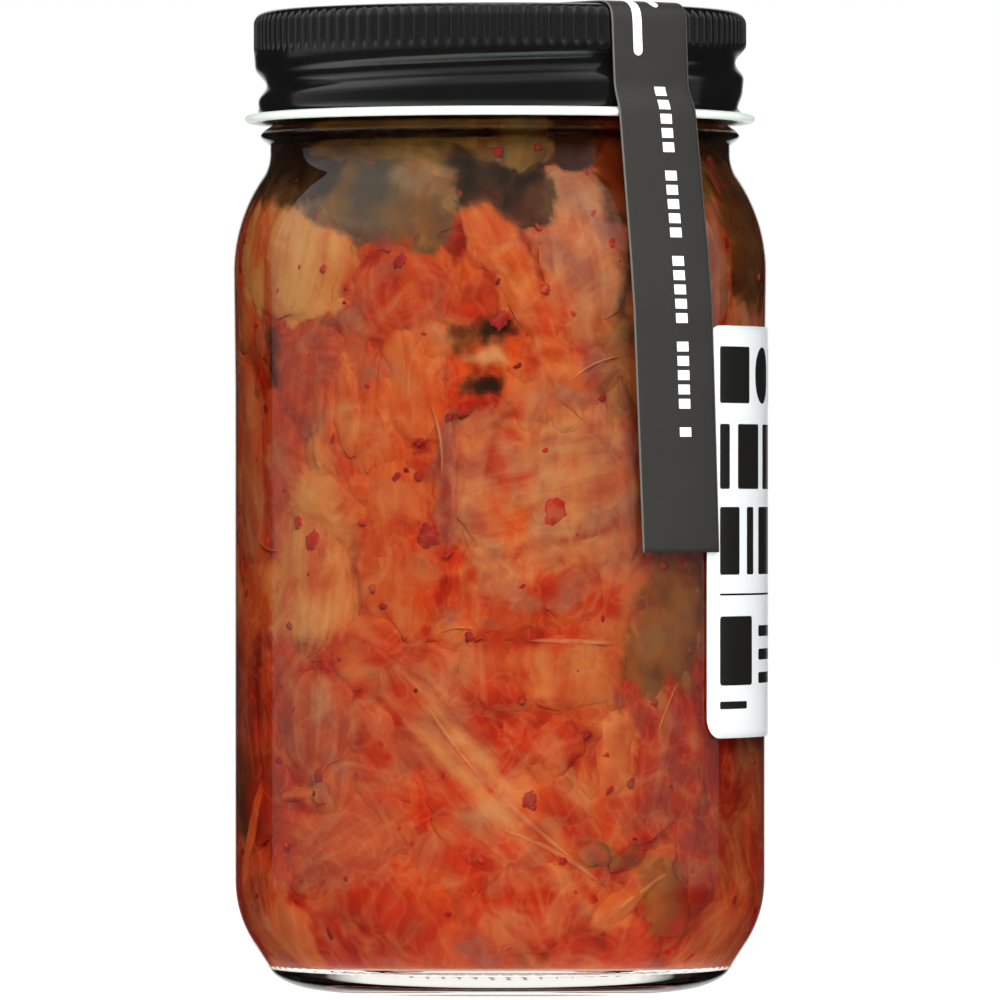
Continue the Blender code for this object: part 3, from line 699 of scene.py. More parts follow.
def paint(sheet, tones, forms, soft=1.1, strength=0.9, rim=0.0):
    """Paints forms on the sheet: inside its blunt outline, bent by waves, a form covers what is there.

    The distance to the outline is the smaller of the two distances to its sides and to its ends. The
    cover rises from 0 to the strength in a smooth step about the outline, which is soft on both sides.
    A rim draws a pale line just inside the outline and a red shadow just outside it, both Gaussian.
    """
    for n, shape in enumerate(forms):
        width, length = shape["width"], shape["length"]
        edge_soft = shape.get("soft", min(soft, 0.2 * min(width, length) + 0.2))
        reach = np.hypot(width, length) / 2.0 + 3.0
        rows = np.nonzero(np.abs(SHEET_Z - shape["z"]) < reach)[0]
        span = int(np.degrees(reach / SMALLEST_WALL_R) / SHEET_STEP)
        middle = int(round(shape["azimuth"] / SHEET_STEP))
        columns = (middle + np.arange(-span, span + 1)) % len(SHEET_AZIMUTHS)
        up = (SHEET_Z[rows] - shape["z"])[:, None]
        aside = np.radians((SHEET_AZIMUTHS[columns] - shape["azimuth"] + 180.0) % 360.0 - 180.0)
        aside = aside * wall_radius(SHEET_Z[rows])[:, None]
        place = np.stack([aside, up + 0.0 * aside], axis=-1)
        seed = 5000 + shape.get("seed", n)
        aside = aside + 0.7 * waves(place, 7.0, seed) + 0.3 * waves(place, 2.4, seed + 1)
        up = up + 0.7 * waves(place, 7.0, seed + 2) + 0.3 * waves(place, 2.4, seed + 3)
        turn = np.radians(shape["tilt"])
        across = np.abs(aside * np.cos(turn) - up * np.sin(turn))
        along = (aside * np.sin(turn) + up * np.cos(turn)) / (length / 2.0)
        taper = 1.0 - shape.get("taper", 0.0) * (0.5 + 0.5 * np.clip(along, -1.0, 1.0))
        half = width / 2.0 * taper * (1.0 - np.minimum(np.abs(along), 1.0) ** 4) ** 0.5
        inside = np.minimum(half - across, (1.0 - np.abs(along)) * length / 2.0)
        cover = shape.get("strength", strength) * ease(-edge_soft, edge_soft, inside)[..., None]
        tone = shape["tone"] + 0.12 * waves(place, 9.0, seed + 4) + 0.06 * waves(place, 3.0, seed + 5)
        patch = np.ix_(rows, columns)
        sheet[patch] += cover * (tone_colour(tones, tone) - sheet[patch])
        if rim:
            pale = shape.get("rim", rim) * np.exp(-(((inside - 0.45) / 0.3) ** 2))[..., None]
            sheet[patch] += pale * (np.array(rgb(*RIM_PALE)[:3]) - sheet[patch])
            dark = 1.3 * shape.get("rim", rim) * np.exp(-(((inside + 0.55) / 0.5) ** 2))[..., None]
            sheet[patch] *= 1.0 - dark * RIM_SHADOW


def painted(azimuth, z):
    """The sheet's colour at azimuths and heights, between its four nearest samples."""
    x = (azimuth % 360.0) / SHEET_STEP
    y = np.clip((z - SHEET_Z[0]) / SHEET_RISE, 0.0, len(SHEET_Z) - 1.001)
    i, j = y.astype(int), x.astype(int) % len(SHEET_AZIMUTHS)
    u, v = (y - i)[..., None], (x - np.floor(x))[..., None]
    k = (j + 1) % len(SHEET_AZIMUTHS)
    low = sheet[i, j] * (1.0 - v) + sheet[i, k] * v
    high = sheet[i + 1, j] * (1.0 - v) + sheet[i + 1, k] * v
    return low * (1.0 - u) + high * u


# The columns of a table of pieces, and of a table of marks that are only painted on the sheet
PIECE = "azimuth z width length tilt tone depth seed strength rim"
MARK = "azimuth z width length tilt tone soft strength"
BACK = (68.0, 292.0)
FRONT = (-68.0, 68.0)
leaf_shape = dict(thick=1.7, ruffle=0.13, ribs=5, rib=0.06, ragged=1.2, blunt=3.5)
deep_stems = scattered(16, 500, FRONT, (12, 108), (7, 12), (12, 24), 30, (0.6, 0.8), (0.3, 0.9))
deep_leaves = scattered(
    40, 1200, FRONT, (8, 110), (6, 13), (10, 22), 40, (0.5, 0.8), (0, 1), **leaf_shape
)
back_stems = scattered(34, 200, BACK, (10, 112), (8, 19), (14, 34), 28, (0.35, 0.6), (0.1, 0.9))
back_leaves = scattered(
    50, 700, BACK, (8, 113), (7, 18), (12, 28), 40, (0.4, 0.7), (0.1, 0.9), **leaf_shape
)
back_greens = scattered(
    16, 900, BACK, (111, 126), (10, 22), (7, 12), 18, (0.4, 0.6), (0, 0.9), **leaf_shape
)
back_greens += scattered(
    9, 950, BACK, (14, 100), (8, 15), (12, 22), 40, (0.4, 0.6), (0.1, 0.7), **leaf_shape
)
stems = [
    form(-58, 107, 28, 19, 8, 0.02, 0.25, strength=1, ribs=2, rim=0.4, seed=101),
    form(20.5, 108, 15, 21, -8, 0.72, 0.2, strength=1, ribs=1, rim=0.4, seed=102),
    form(56, 106, 9, 20, 0, 0.8, ribs=1, seed=103),
    form(-48.5, 63, 23, 28, 6, 0.08, 0.35, ribs=4, taper=0.65, seed=104),
    form(11, 72, 31, 27, 78, 0.74, ribs=5, rib=0.15, seed=105),
    form(17.3, 46.8, 15, 10.5, 4, 0.25, 0.35, ribs=1, seed=106),
    form(-5, 33, 19, 42, -40, 0.72, ribs=5, rib=0.15, seed=107),
    form(27, 35, 7, 13, 4, 0.2, ribs=2, seed=108),
    form(33, 16, 5, 18, 50, 0.3, ribs=2, seed=109),
    form(-57, 10, 8.5, 9, 14, 0.1, ribs=2, seed=110),
    form(-47, 40, 16, 14, 0, 0.7, ribs=5, seed=111),
    form(-38, 22, 13, 24, 62, 0.6, 0.5, ribs=4, seed=112),
    form(-44, 30, 5.5, 5, 10, 0.9, ribs=2, seed=113),
    form(-53, 29, 2.4, 9, 86, 0.1, ribs=1, seed=114),
]
leaves = table(PIECE, (
    (-25, 101, 19, 13, -20, 0.7, 0.45, 301), (-44, 84, 5.5, 16, 4, 0.1, 0.35, 302),
    (-37, 85, 5.5, 14, -6, 0.25, 0.4, 303), (-30, 84, 6.5, 18, 6, 0.4, 0.4, 304),
    (-20, 88, 10, 17, -10, 0.35, 0.45, 305), (-52, 89, 15, 19, 8, 0.8, 0.6, 306),
    (-25, 66, 12, 29, -6, 0.4, 0.5, 307), (-12, 74, 4, 20, 2, 1, 0.4, 308),
    (1, 59, 13, 15, 24, 0.6, 0.45, 309), (17, 58.5, 13, 10, 60, 0.5, 0.45, 310),
    (29.5, 76, 6, 28, -4, 1, 0.4, 311), (20, 90, 11, 9, 40, 0.9, 0.5, 312),
    (13, 36, 8, 9, 30, 0.7, 0.45, 315), (40, 34, 17, 23, 12, 0.85, 0.45, 316),
    (-24, 14, 18, 12, 30, 0.5, 0.5, 317), (8, 14, 20, 13, -24, 0.62, 0.45, 318),
    (-28, 36, 12, 16, -30, 0.7, 0.5, 319), (-1.5, 109.5, 7, 17, -30, 0.3, 0.25, 322, 1, 0.4),
    (6.5, 100.5, 6, 17, -28, 0.36, 0.25, 323, 1, 0.4), (14, 91, 5.5, 16, -24, 0.34, 0.25, 324, 1, 0.4),
    (-62, 75, 10, 26, 4, 0.75, 0.6, 320), (-64, 38, 10, 30, -6, 0.8, 0.6, 321),
), **leaf_shape)
greens = table(PIECE, (
    (-32, 115, 29, 14, 14, 0.05, 0.4, 401), (-64, 119, 24, 11, 0, 0.9, 0.5, 402),
    (-30, 122.5, 30, 6, 2, 0.4, 0.45, 403), (-13, 118.5, 4.5, 15, 112, 0.3, 0.35, 404),
    (-5, 116.5, 11, 8, 10, 0.95, 0.45, 405), (5.5, 124, 7.5, 13, 2, 0.25, 0.35, 406),
    (7, 114, 8, 8, 20, 0.9, 0.45, 407), (33, 118, 9, 16, 4, 0.75, 0.4, 408),
    (50, 119, 16, 12, 10, 0.25, 0.4, 409), (76, 108, 16, 18, 0, 0.55, 0.6, 410),
    (42, 53, 13, 22, 24, 0.3, 0.4, 411, 0.75), (41, 15, 8, 13, -34, 0.3, 0.4, 412, 0.6),
    (30, 20, 3, 6, 60, 0.5, 0.4, 413, 0.6), (22, 21, 5.5, 4, 10, 0.1, 0.35, 414, 0.8),
    (-76, 25, 9, 8, 0, 0.85, 0.6, 416, 0.8),
), **leaf_shape)
# Smears of paste, and pockets of clear brine, which look mauve grey or nearly black
smears = table(MARK, (
    (-66, 110, 3, 6, 10, 0.35, 1), (-63, 101, 3, 9, 0, 0.1, 1.4), (-27, 107, 9, 3, -20, 0.1, 1.2),
    (-7, 99, 8, 4, 20, 0.3, 1.6), (12, 99, 6, 8, 20, 0.45, 1.6), (3, 84, 10, 4, 80, 0.2, 1.5),
    (-0.6, 80, 2.2, 13, 0, 0.1, 0.7), (3.5, 72.5, 4, 8, 30, 0.2, 1.2), (5, 64, 16, 5, 60, 0.3, 1.8),
    (-20, 66, 5, 10, -30, 0.25, 1.8), (-46, 62, 3, 7, 10, 0.25, 1), (-55, 55, 5, 9, 10, 0.4, 1.5),
    (-42, 50.7, 3.6, 27, 88, 0.15, 1.3), (-20, 49.5, 4, 14, 86, 0.25, 1.6),
    (-3.5, 43, 5, 11, 14, 0.12, 1.8), (6, 51.5, 3, 16, 85, 0.2, 1.2), (4, 39, 8, 14, -36, 0.35, 2.4),
    (14, 33, 5, 6, 20, 0.05, 1.8), (-16, 31, 4, 14, 75, 0.35, 2), (-30, 11, 8, 15, 86, 0.15, 2.4),
    (-48, 17.5, 4, 9, 80, 0.02, 1.6), (-8, 29.5, 4.5, 14, 80, 0.35, 1.8),
    (3, 36, 10, 17, -34, 0.16, 2.6), (14, 24, 8, 12, -20, 0.2, 2.6), (-24, 42, 7, 9, 30, 0.22, 2.2),
    (-2, 22, 7, 14, 70, 0.25, 2.4), (50, 12, 10, 10, 0, 0.05, 2.6), (62, 30, 8, 30, 0, 0, 3),
    (-70, 30, 8, 44, 0, 0.05, 3), (25, 58, 6, 8, 20, 0.3, 1.6), (45, 40, 10, 12, 20, 0.2, 2.4),
    (-2, 7.5, 4, 26, 88, 0.25, 1.8),
))
pockets = table(MARK, (
    (-39, 97, 2.6, 9, 84, 1, 0.9), (-30, 90, 3, 6, 60, 0.9, 1.5), (-12, 55, 2.4, 2.4, 0, 1, 0.5),
    (-3, 54, 2, 1.4, 0, 1, 0.4), (-31, 47.5, 1.4, 3, 86, 1, 0.4), (17, 57.3, 2, 2, 0, 1, 0.6),
    (36, 57, 2, 2, 0, 1, 0.6), (27, 43.5, 3.4, 2, 60, 1, 0.7), (44, 40, 4, 2.6, 70, 1, 0.9),
    (22, 20.5, 5, 3.6, 10, 0.9, 0.6), (-5, 7.6, 3.4, 7.5, 84, 1, 0.6), (-40, 33, 5, 3, 60, 1, 1.4),
    (23, 92, 4.5, 9, 70, 0.95, 1.4), (-60, 70, 4, 12, 0, 0.9, 2),
))
# Bright orange patches, and at the air pocket a painted glow round a painted cream highlight
bright_patches_and_painted_highlight = table(MARK, (
    (34, 120, 9, 16, 4, 1, 2, 0.35), (-18, 117, 5, 12, 105, 0, 1.1, 0.3),
    (-2.5, 92, 7, 11, 88, 0.6, 2.2), (-3, 92.3, 1.7, 7, 86, 0, 0.9), (-70, 109, 4, 9, 0, 0.7, 1.2),
    (8, 30, 4, 9, 40, 0.8, 2), (0.5, 71.5, 2.4, 7, 14, 0.8, 0.8), (4, 68, 3, 5, 40, 0.6, 1),
))
# Faint light fibres along three of the large stems
fibres = [
    form(9 + 0.7 * n % 5, 61.5 + 2.6 * n, 1.3, 24 - n, 76 + n, 0, strength=0.4, soft=0.7, seed=50 + n)
    for n in range(9)
]
fibres += [
    form(-15 + 4.2 * n, 36.5 - 2.7 * n + 5 * (n % 2), 1.5, 24 + 2 * n, -44, 0.3, strength=0.34, soft=0.7,
         seed=70 + n)
    for n in range(7)
]
fibres += [
    form(-60 + 4.6 * n, 60 + n % 3, 1.6, 20, 4, 0.3 * (n % 2), strength=0.4, soft=0.8, seed=90 + n)
    for n in range(6)
]
# Dark patches in the green tones: dark olive leaf, and at the air pocket a painted shadow above its highlight
# and painted shade below it
dark_patches_and_painted_shadow = table(MARK, (
    (-5, 95.4, 3.4, 10, 82, 0.6, 0.9, 0.8), (-1, 95.8, 2.8, 5.5, 80, 1, 0.8),
    (-4.5, 88.2, 2.8, 8, 86, 0.7, 0.7, 0.9), (-3.5, 88, 2, 4.4, 86, 1, 0.5),
    (-62, 92, 3, 9, 0, 0.9, 1.5), (-9, 119, 8, 3, 84, 1, 0.9), (30, 100, 3, 14, 0, 0.8, 1.4),
    (28, 90, 5, 15, -8, 0.35, 1.4, 0.55),
))
around = round_axis(36.0 + 0.0 * SHEET_Z[:, None], SHEET_Z[:, None], SHEET_AZIMUTHS)
cloud = 0.5 + 0.22 * waves(around, 24.0, 41) + 0.14 * waves(around, 9.0, 42) + 0.08 * waves(around, 3.5, 43)
sheet = tone_colour(PASTE_TONES, cloud)
neck = ease(110.0, 117.0, SHEET_Z)[:, None, None]
sheet += neck * (np.array(rgb(*NECK_BROWN)[:3]) * (0.8 + 0.5 * cloud[..., None]) - sheet)
for tones, forms, soft, rim in (
    (LEAF_TONES, deep_leaves, 1.1, 0.0), (STEM_TONES, deep_stems, 1.1, 0.0),
    (LEAF_TONES, back_leaves, 0.7, 0.2), (STEM_TONES, back_stems, 0.7, 0.2),
    (GREEN_TONES, back_greens, 0.7, 0.0), (LEAF_TONES, leaves, 0.5, 0.22), (STEM_TONES, stems, 0.5, 0.22),
):
    paint(sheet, tones, forms, soft=soft, rim=rim)
# What lies low in the jar is made darker and redder than what lies high, fading out by 80 mm; the greens hold
# their colour
stain = 1.0 - 0.7 * ease(30.0, 80.0, SHEET_Z)
sheet *= 1.0 - stain[:, None, None] * LOWER_DARKENING
paint(sheet, GREEN_TONES, greens, soft=0.6, rim=0.06)
paint(sheet, PASTE_TONES, smears, strength=0.8)
paint(sheet, STEM_TONES, fibres)
paint(sheet, LEAF_TONES, pockets, strength=0.75)
paint(sheet, GLOW_TONES, bright_patches_and_painted_highlight, strength=0.8)
paint(sheet, GREEN_TONES, dark_patches_and_painted_shadow, strength=0.9)


# Kimchi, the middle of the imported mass: small bits of leaf laid over each other like scales in red
# chilli paste. It comes close to the glass everywhere and shows between the larger pieces.
FILL_TOP_Z = 130.3
CORE_DEPTH = 1.15
CORE_COLUMNS = 390
CORE_SEAM_AZIMUTH = 100.0
BITS = 360


def set_tint(piece, colours):
    """Writes one colour for each vertex as the attribute tint."""
    layer = piece.data.attributes.new("tint", "FLOAT_COLOR", "POINT")
    opaque = np.append(colours, np.ones((len(colours), 1)), axis=1)
    layer.data.foreach_set("color", opaque.astype(np.float32).ravel())


def tissue_material(name, fibre=1.0, streak=0.5, stain=0.5, stretch=0.07, pale=(236, 178, 120)):
    """Wet cabbage: the tint of the plan, lighter and darker streaks along its fibres, small stains.

    pale is the colour of the lightest fibres and veins.
    """
    material, tree, shader = new_material(name, {"Roughness": 0.4, "Specular IOR Level": 0.1})
    grain = node(tree, "ShaderNodeUVMap", uv_map="Grain").outputs[0]
    long_grain = node(tree, "ShaderNodeMapping", {"Vector": grain, "Scale": (1.0, stretch, 1.0)}).outputs[0]
    strands = noise(tree, 0.5 * fibre, 4.0, 0.55, 0.6, long_grain)
    clouds = noise(tree, 100.0, 4.0, 0.52, 1.2)
    vein = calc(tree, "ABSOLUTE", calc(tree, "SUBTRACT", noise(tree, 150.0, 2.0, 0.5, 1.2), 0.5))
    specks = noise(tree, 800.0, 2.0, 0.5, 1.0)
    tint = node(tree, "ShaderNodeAttribute", attribute_name="tint").outputs["Color"]
    colour = tint
    # Each mark starts at one value of its pattern and is full, as strong as its share, at another
    for pattern, start, full, share, mark, blend in (
        (strands, 0.50, 0.30, streak, (216, 74, 38), "MULTIPLY"),
        (strands, 0.50, 0.70, 0.45 * streak, pale, "MIX"),
        (clouds, 0.50, 0.36, 0.75 * stain, (226, 78, 28), "MULTIPLY"),
        (clouds, 0.53, 0.66, 0.22, pale, "MIX"),
        (vein, 0.05, 0.0, 0.09, pale, "MIX"),
        (specks, 0.70, 0.78, 0.5, (176, 40, 30), "MIX"),
    ):
        colour = mixed(tree, ranged(tree, pattern, start, full, 0.0, share), colour, rgb(*mark), blend)
    # Dark pieces are plain: the pale marks come in as the tint gets lighter
    light = node(tree, "ShaderNodeRGBToBW", {"Color": tint}).outputs[0]
    colour = mixed(tree, ranged(tree, light, 0.02, 0.13), tint, colour)
    tree.links.new(colour, shader.inputs["Base Color"])
    add_bump(tree, shader, strands, 0.25, 0.25)
    return material


def leaf_bits(around, up, seed):
    """Divides the wall into bits of leaf: for each point its bit and how near it is to that bit's edge.

    Each bit is a drawn centre with its own grain direction. Distance is shorter along the grain, so
    the bits are long, and waves bend the outlines. The edge is where the two nearest bits tie.
    """
    rng = np.random.default_rng(seed)
    step = np.arange(BITS)
    centre = np.stack([(step * 0.6180339 % 1.0) * 360.0, 4.0 + 124.0 * (step + 0.5) / BITS], axis=1)
    centre += rng.uniform(-1.0, 1.0, centre.shape) * (9.0, 3.0)
    angle = np.radians(rng.normal(0.0, 38.0, BITS))
    size = rng.uniform(0.75, 1.35, BITS)
    mean_r = BODY_R - WALL
    bent = np.stack([around, up], axis=-1)
    bent = bent + 1.6 * np.stack([waves(bent, 11.0, seed + 1), waves(bent, 11.0, seed + 2)], axis=-1)
    bent = bent + 0.35 * np.stack([waves(bent, 3.0, seed + 3), waves(bent, 3.0, seed + 4)], axis=-1)
    bent = bent.astype(np.float32)
    lap = 2.0 * np.pi * mean_r
    aside = bent[..., 0, None] - np.radians(centre[:, 0]).astype(np.float32) * mean_r
    aside = (aside + lap / 2.0) % lap - lap / 2.0
    rise = bent[..., 1, None] - centre[:, 1].astype(np.float32)
    along = rise * np.cos(angle, dtype=np.float32) + aside * np.sin(angle, dtype=np.float32)
    across = aside * np.cos(angle, dtype=np.float32) - rise * np.sin(angle, dtype=np.float32)
    distance = np.hypot(along / 1.7, across) / size.astype(np.float32)
    nearest = np.argpartition(distance, 1, axis=-1)[..., :2]
    two = np.take_along_axis(distance, nearest, axis=-1)
    bit = np.take_along_axis(nearest, two.argmin(axis=-1)[..., None], axis=-1)[..., 0]
    edge = np.abs(two[..., 0] - two[..., 1])
    pick = bit[..., None]
    grain = np.stack([
        np.take_along_axis(across, pick, axis=-1)[..., 0] + 31.0 * bit,
        np.take_along_axis(along, pick, axis=-1)[..., 0] + 47.0 * bit,
    ], axis=-1)
    return bit, edge, grain


side_z = np.linspace(126.5, FLOOR_EDGE[1] + 1.0, 230)
side = np.stack([wall_radius(side_z) - CORE_DEPTH, side_z], axis=1)
top = line((4.0, FILL_TOP_Z), (side[0, 0] - 1.5, FILL_TOP_Z - 1.0), 12)
core_floor_z = FLOOR_EDGE[1] + FLOOR_DOME + 0.4
bottom = line((side[-1, 0] - 1.0, FLOOR_EDGE[1] + 0.6), (3.0, core_floor_z), 6)
outline = np.concatenate([top, side, bottom])
azimuths, radius, height = turned(outline, CORE_COLUMNS, CORE_SEAM_AZIMUTH)
around = np.radians(azimuths % 360.0) * (BODY_R - WALL) + 0.0 * height
bit, edge, grain = leaf_bits(around, height, 31)
rng = np.random.default_rng(32)
points = round_axis(radius, height, azimuths)
crease = np.exp(-((edge / 0.9) ** 2))
relief = rng.uniform(-0.15, 0.3, BITS)[bit] - 0.2 * crease + 0.2 * waves(points, 6.0, 22)
relief = np.clip(relief + 0.05 * waves(points, 2.0, 23), -0.9, 0.6)
radius = radius + relief * ease(4.4, 7.0, height)
verts, faces = closed_round_axis(radius, height, azimuths, FILL_TOP_Z, core_floor_z)
paste_material = tissue_material("chilli_paste", fibre=1.1, streak=0.35, stain=0.5, stretch=0.25)
core = new_piece("kimchi_core", verts, faces, paste_material)
tint = painted(azimuths + 0.0 * height, height)
# The creases between the bits of leaf are painted darker as shade, and each bit also gets a random tone of
# its own
crease_shade_and_tone = (1.0 - 0.12 * crease + rng.uniform(-0.12, 0.12, BITS)[bit])[..., None]
set_tint(core, np.concatenate([(tint * crease_shade_and_tone).reshape(-1, 3), tint[0, :1], tint[-1, :1]]))
set_uv(core, "Grain", np.concatenate([grain.reshape(-1, 2), [[0.0, 0.0], [0.0, 0.0]]]))
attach(core, "root")
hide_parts("kimchi")


# Kimchi, cut stems: the thick pale ribs of the cabbage leaf, cut across and pressed on the glass.
# They are half clear, stained orange by the paste, with straight fibres along them.
def pressed(azimuth, z, width, length, tilt, tone, depth, thick=1.9, ribs=3, rib=0.05, ruffle=0.1, taper=0.0,
            bend=0.0, blunt=5.0, ragged=0.8, lens=1.8, seed=0, fine=1.0, tones=None, **painting):
    """One form as a piece pressed on the wall: a grid of points with its Grain map and its tint.

    Its section is a flattened superellipse carried along a path. Across is half the width times the
    cosine to a power, depth half the thickness times the sine. The ends close by a blunt superellipse,
    waves make the outline ragged and the face uneven, and the whole is turned by the tilt and laid
    round the wall at its depth. A piece with tones of its own fades into the plan's colour at its rim.
    """
    rng = np.random.default_rng(seed)
    rows = int(np.clip(length * 1.3 * fine, 12, 64))
    columns = int(np.clip((width * 1.2 + 14) * fine, 14, 64))
    v = -np.cos(np.pi * (np.arange(rows) + 0.5) / rows)[:, None]
    a = (np.arange(columns) / columns * 2.0 * np.pi)[None, :]
    c = np.sign(np.cos(a)) * np.abs(np.cos(a)) ** 0.85
    s = np.sign(np.sin(a)) * np.abs(np.sin(a)) ** lens
    shrink = (1.0 - np.abs(v) ** blunt) ** 0.5 * (1.0 - taper * (0.5 + 0.5 * v))
    k = rng.uniform(0.0, 2.0 * np.pi, 6)
    outline = 0.08 * np.sin(2.7 * v + k[0] + c) + 0.05 * np.sin(6.0 * v * (1.0 + 0.4 * c) + k[1])
    outline += 0.03 * np.sin(11.0 * v + k[2] + 2.0 * c)
    across = c * width / 2.0 * shrink * (1.0 + ragged * outline)
    ends = 0.06 * np.sin(2.1 * c + k[3]) + 0.05 * np.sin(5.0 * c + k[4])
    along = v * length / 2.0 * (1.0 + ragged * ends)
    bowed = across + bend * (v**2 - 0.4) * width
    turn = np.radians(tilt)
    shift = bowed * np.cos(turn) + along * np.sin(turn)
    rise = along * np.cos(turn) - bowed * np.sin(turn)
    height = np.clip(z + rise, FLOOR_EDGE[1] + 1.0, 129.5)
    local = np.stack([across, along], axis=-1)
    uneven = ruffle * waves(local, 0.4 * min(width, length) + 2.5, seed + 1)
    ribbing = rib * (0.5 - 0.5 * np.cos(ribs * np.pi * c + k[5] + 0.5 * v)) * (s > 0)
    sunk = thick * (0.5 - 0.5 * s * (0.1 + 0.9 * shrink))
    inward = np.maximum(depth + sunk + uneven * min(1.0, thick) + ribbing, 0.12)
    wall = wall_radius(height)
    azimuths = azimuth + np.degrees(shift / (wall - depth))
    tint = painted(azimuths, height)
    if tones:
        rim = np.maximum(np.abs(c) ** 2 + 0.0 * v, np.abs(v) ** 3 + 0.0 * c)
        firm = 1.0 - ease(painting.get("firm", 0.35), 1.0, rim)
        cover = (painting.get("strength", 0.9) * firm)[..., None]
        tint = tint + cover * (tone_colour(tones, tone) - tint)
    fibre = np.stack([c * width / 2.0 * (1.0 - 0.4 * taper * v), along], axis=-1)
    return round_axis(wall - inward, height, azimuths), fibre, tint


def piece_set(name, material, forms, tones=None):
    """Joins many pressed forms into one mesh with their Grain map and tints."""
    verts, faces, uvs, tints = [], [], [], []
    base = 0
    for n, shape in enumerate(forms):
        grid, fibre, tint = pressed(tones=tones, **shape)
        points, quads = closed_grid(grid, grid[0].mean(axis=0), grid[-1].mean(axis=0))
        faces += [[base + i for i in face] for face in quads]
        base += len(points)
        verts.append(points)
        uv = fibre.reshape(-1, 2) + (37.0 * n, 53.0 * n)
        uvs.append(np.concatenate([uv, uv[:1], uv[-1:]]))
        tints.append(np.concatenate([tint.reshape(-1, 3), tint[0, :1], tint[-1, :1]]))
    piece = new_piece(name, np.concatenate(verts), faces, material)
    set_uv(piece, "Grain", np.concatenate(uvs))
    set_tint(piece, np.concatenate(tints))
    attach(piece, "root")
    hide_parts("kimchi")
    return piece


stem_material = tissue_material(
    "cabbage_stem", fibre=0.8, streak=0.35, stain=0.35, stretch=0.1, pale=(240, 196, 140)
)
# The pieces round the back have fewer points than the deep ones, and those in front have more
for shape in back_stems + back_leaves + back_greens:
    shape["fine"] = 0.7
for shape in stems + leaves + greens:
    shape["fine"] = 1.5
piece_set("kimchi_stems", stem_material, deep_stems + back_stems + stems)


# Kimchi, leaf: soft wilted leaf between the stems, crumpled and pressed flat, orange to pink, with
# fine wrinkles along it and ragged thin edges.
leaf_material = tissue_material("cabbage_leaf", fibre=1.2, streak=0.35, stain=0.5, stretch=0.2)
piece_set("kimchi_leaves", leaf_material, deep_leaves + back_leaves + leaves)


# Kimchi, green leaf: the outer leaves keep an olive to dark brown-green, most of them near the top.
green_material = tissue_material(
    "green_leaf", fibre=1.4, streak=0.3, stain=0.25, stretch=0.3, pale=(128, 112, 84)
)
piece_set("kimchi_green_leaves", green_material, back_greens + greens)


# Kimchi, shreds: thin strips of carrot and radish stained a vivid orange, and the pale cut edges of
# leaves, which show as fine light lines.
SHRED_TONES = ((240, 190, 142), (232, 146, 84), (230, 116, 48), (220, 86, 28), (206, 64, 18))
shred_material = tissue_material("orange_shred", streak=0.3, stain=0.4)
shred_shape = dict(thick=1.4, ruffle=0.06, ribs=1, rib=0.04, blunt=3.0)
line_shape = dict(thick=1.3, ruffle=0.05, ribs=1, rib=0.0, blunt=2.5, ragged=0.5, strength=0.28)
shreds = table("azimuth z width length tilt tone depth seed bend", (
    (17, 51.3, 14, 1, 2, 0, 0.25, 607), (-20, 91.5, 0.6, 11, 12, 0.1, 0.25, 608, 1.2),
    (-14, 80, 0.6, 12, -8, 0.1, 0.25, 609, -1.5), (21, 90.5, 0.6, 9, 62, 0.1, 0.25, 610, 1.5),
    (3, 28, 1.4, 26, -46, 0.05, 0.3, 611, 0.6), (-8, 35, 1, 22, -38, 0.05, 0.3, 612, 0.6),
    (12, 21, 1.2, 18, -62, 0.1, 0.3, 613, -0.8), (33, 15, 1.2, 14, 58, 0.1, 0.3, 614, 0.5),
), **line_shape)
shreds += scattered(
    26, 1500, (-70, 290), (8, 110), (0.4, 0.7), (4, 12), 45, (0.3, 0.45), (0.2, 0.6), bend=1,
    **line_shape
)
shreds += scattered(
    14, 1700, BACK, (12, 110), (2.6, 5), (10, 26), 35, (0.3, 0.5), (0.3, 0.9), **shred_shape
)
piece_set("kimchi_shreds", shred_material, shreds, SHRED_TONES)


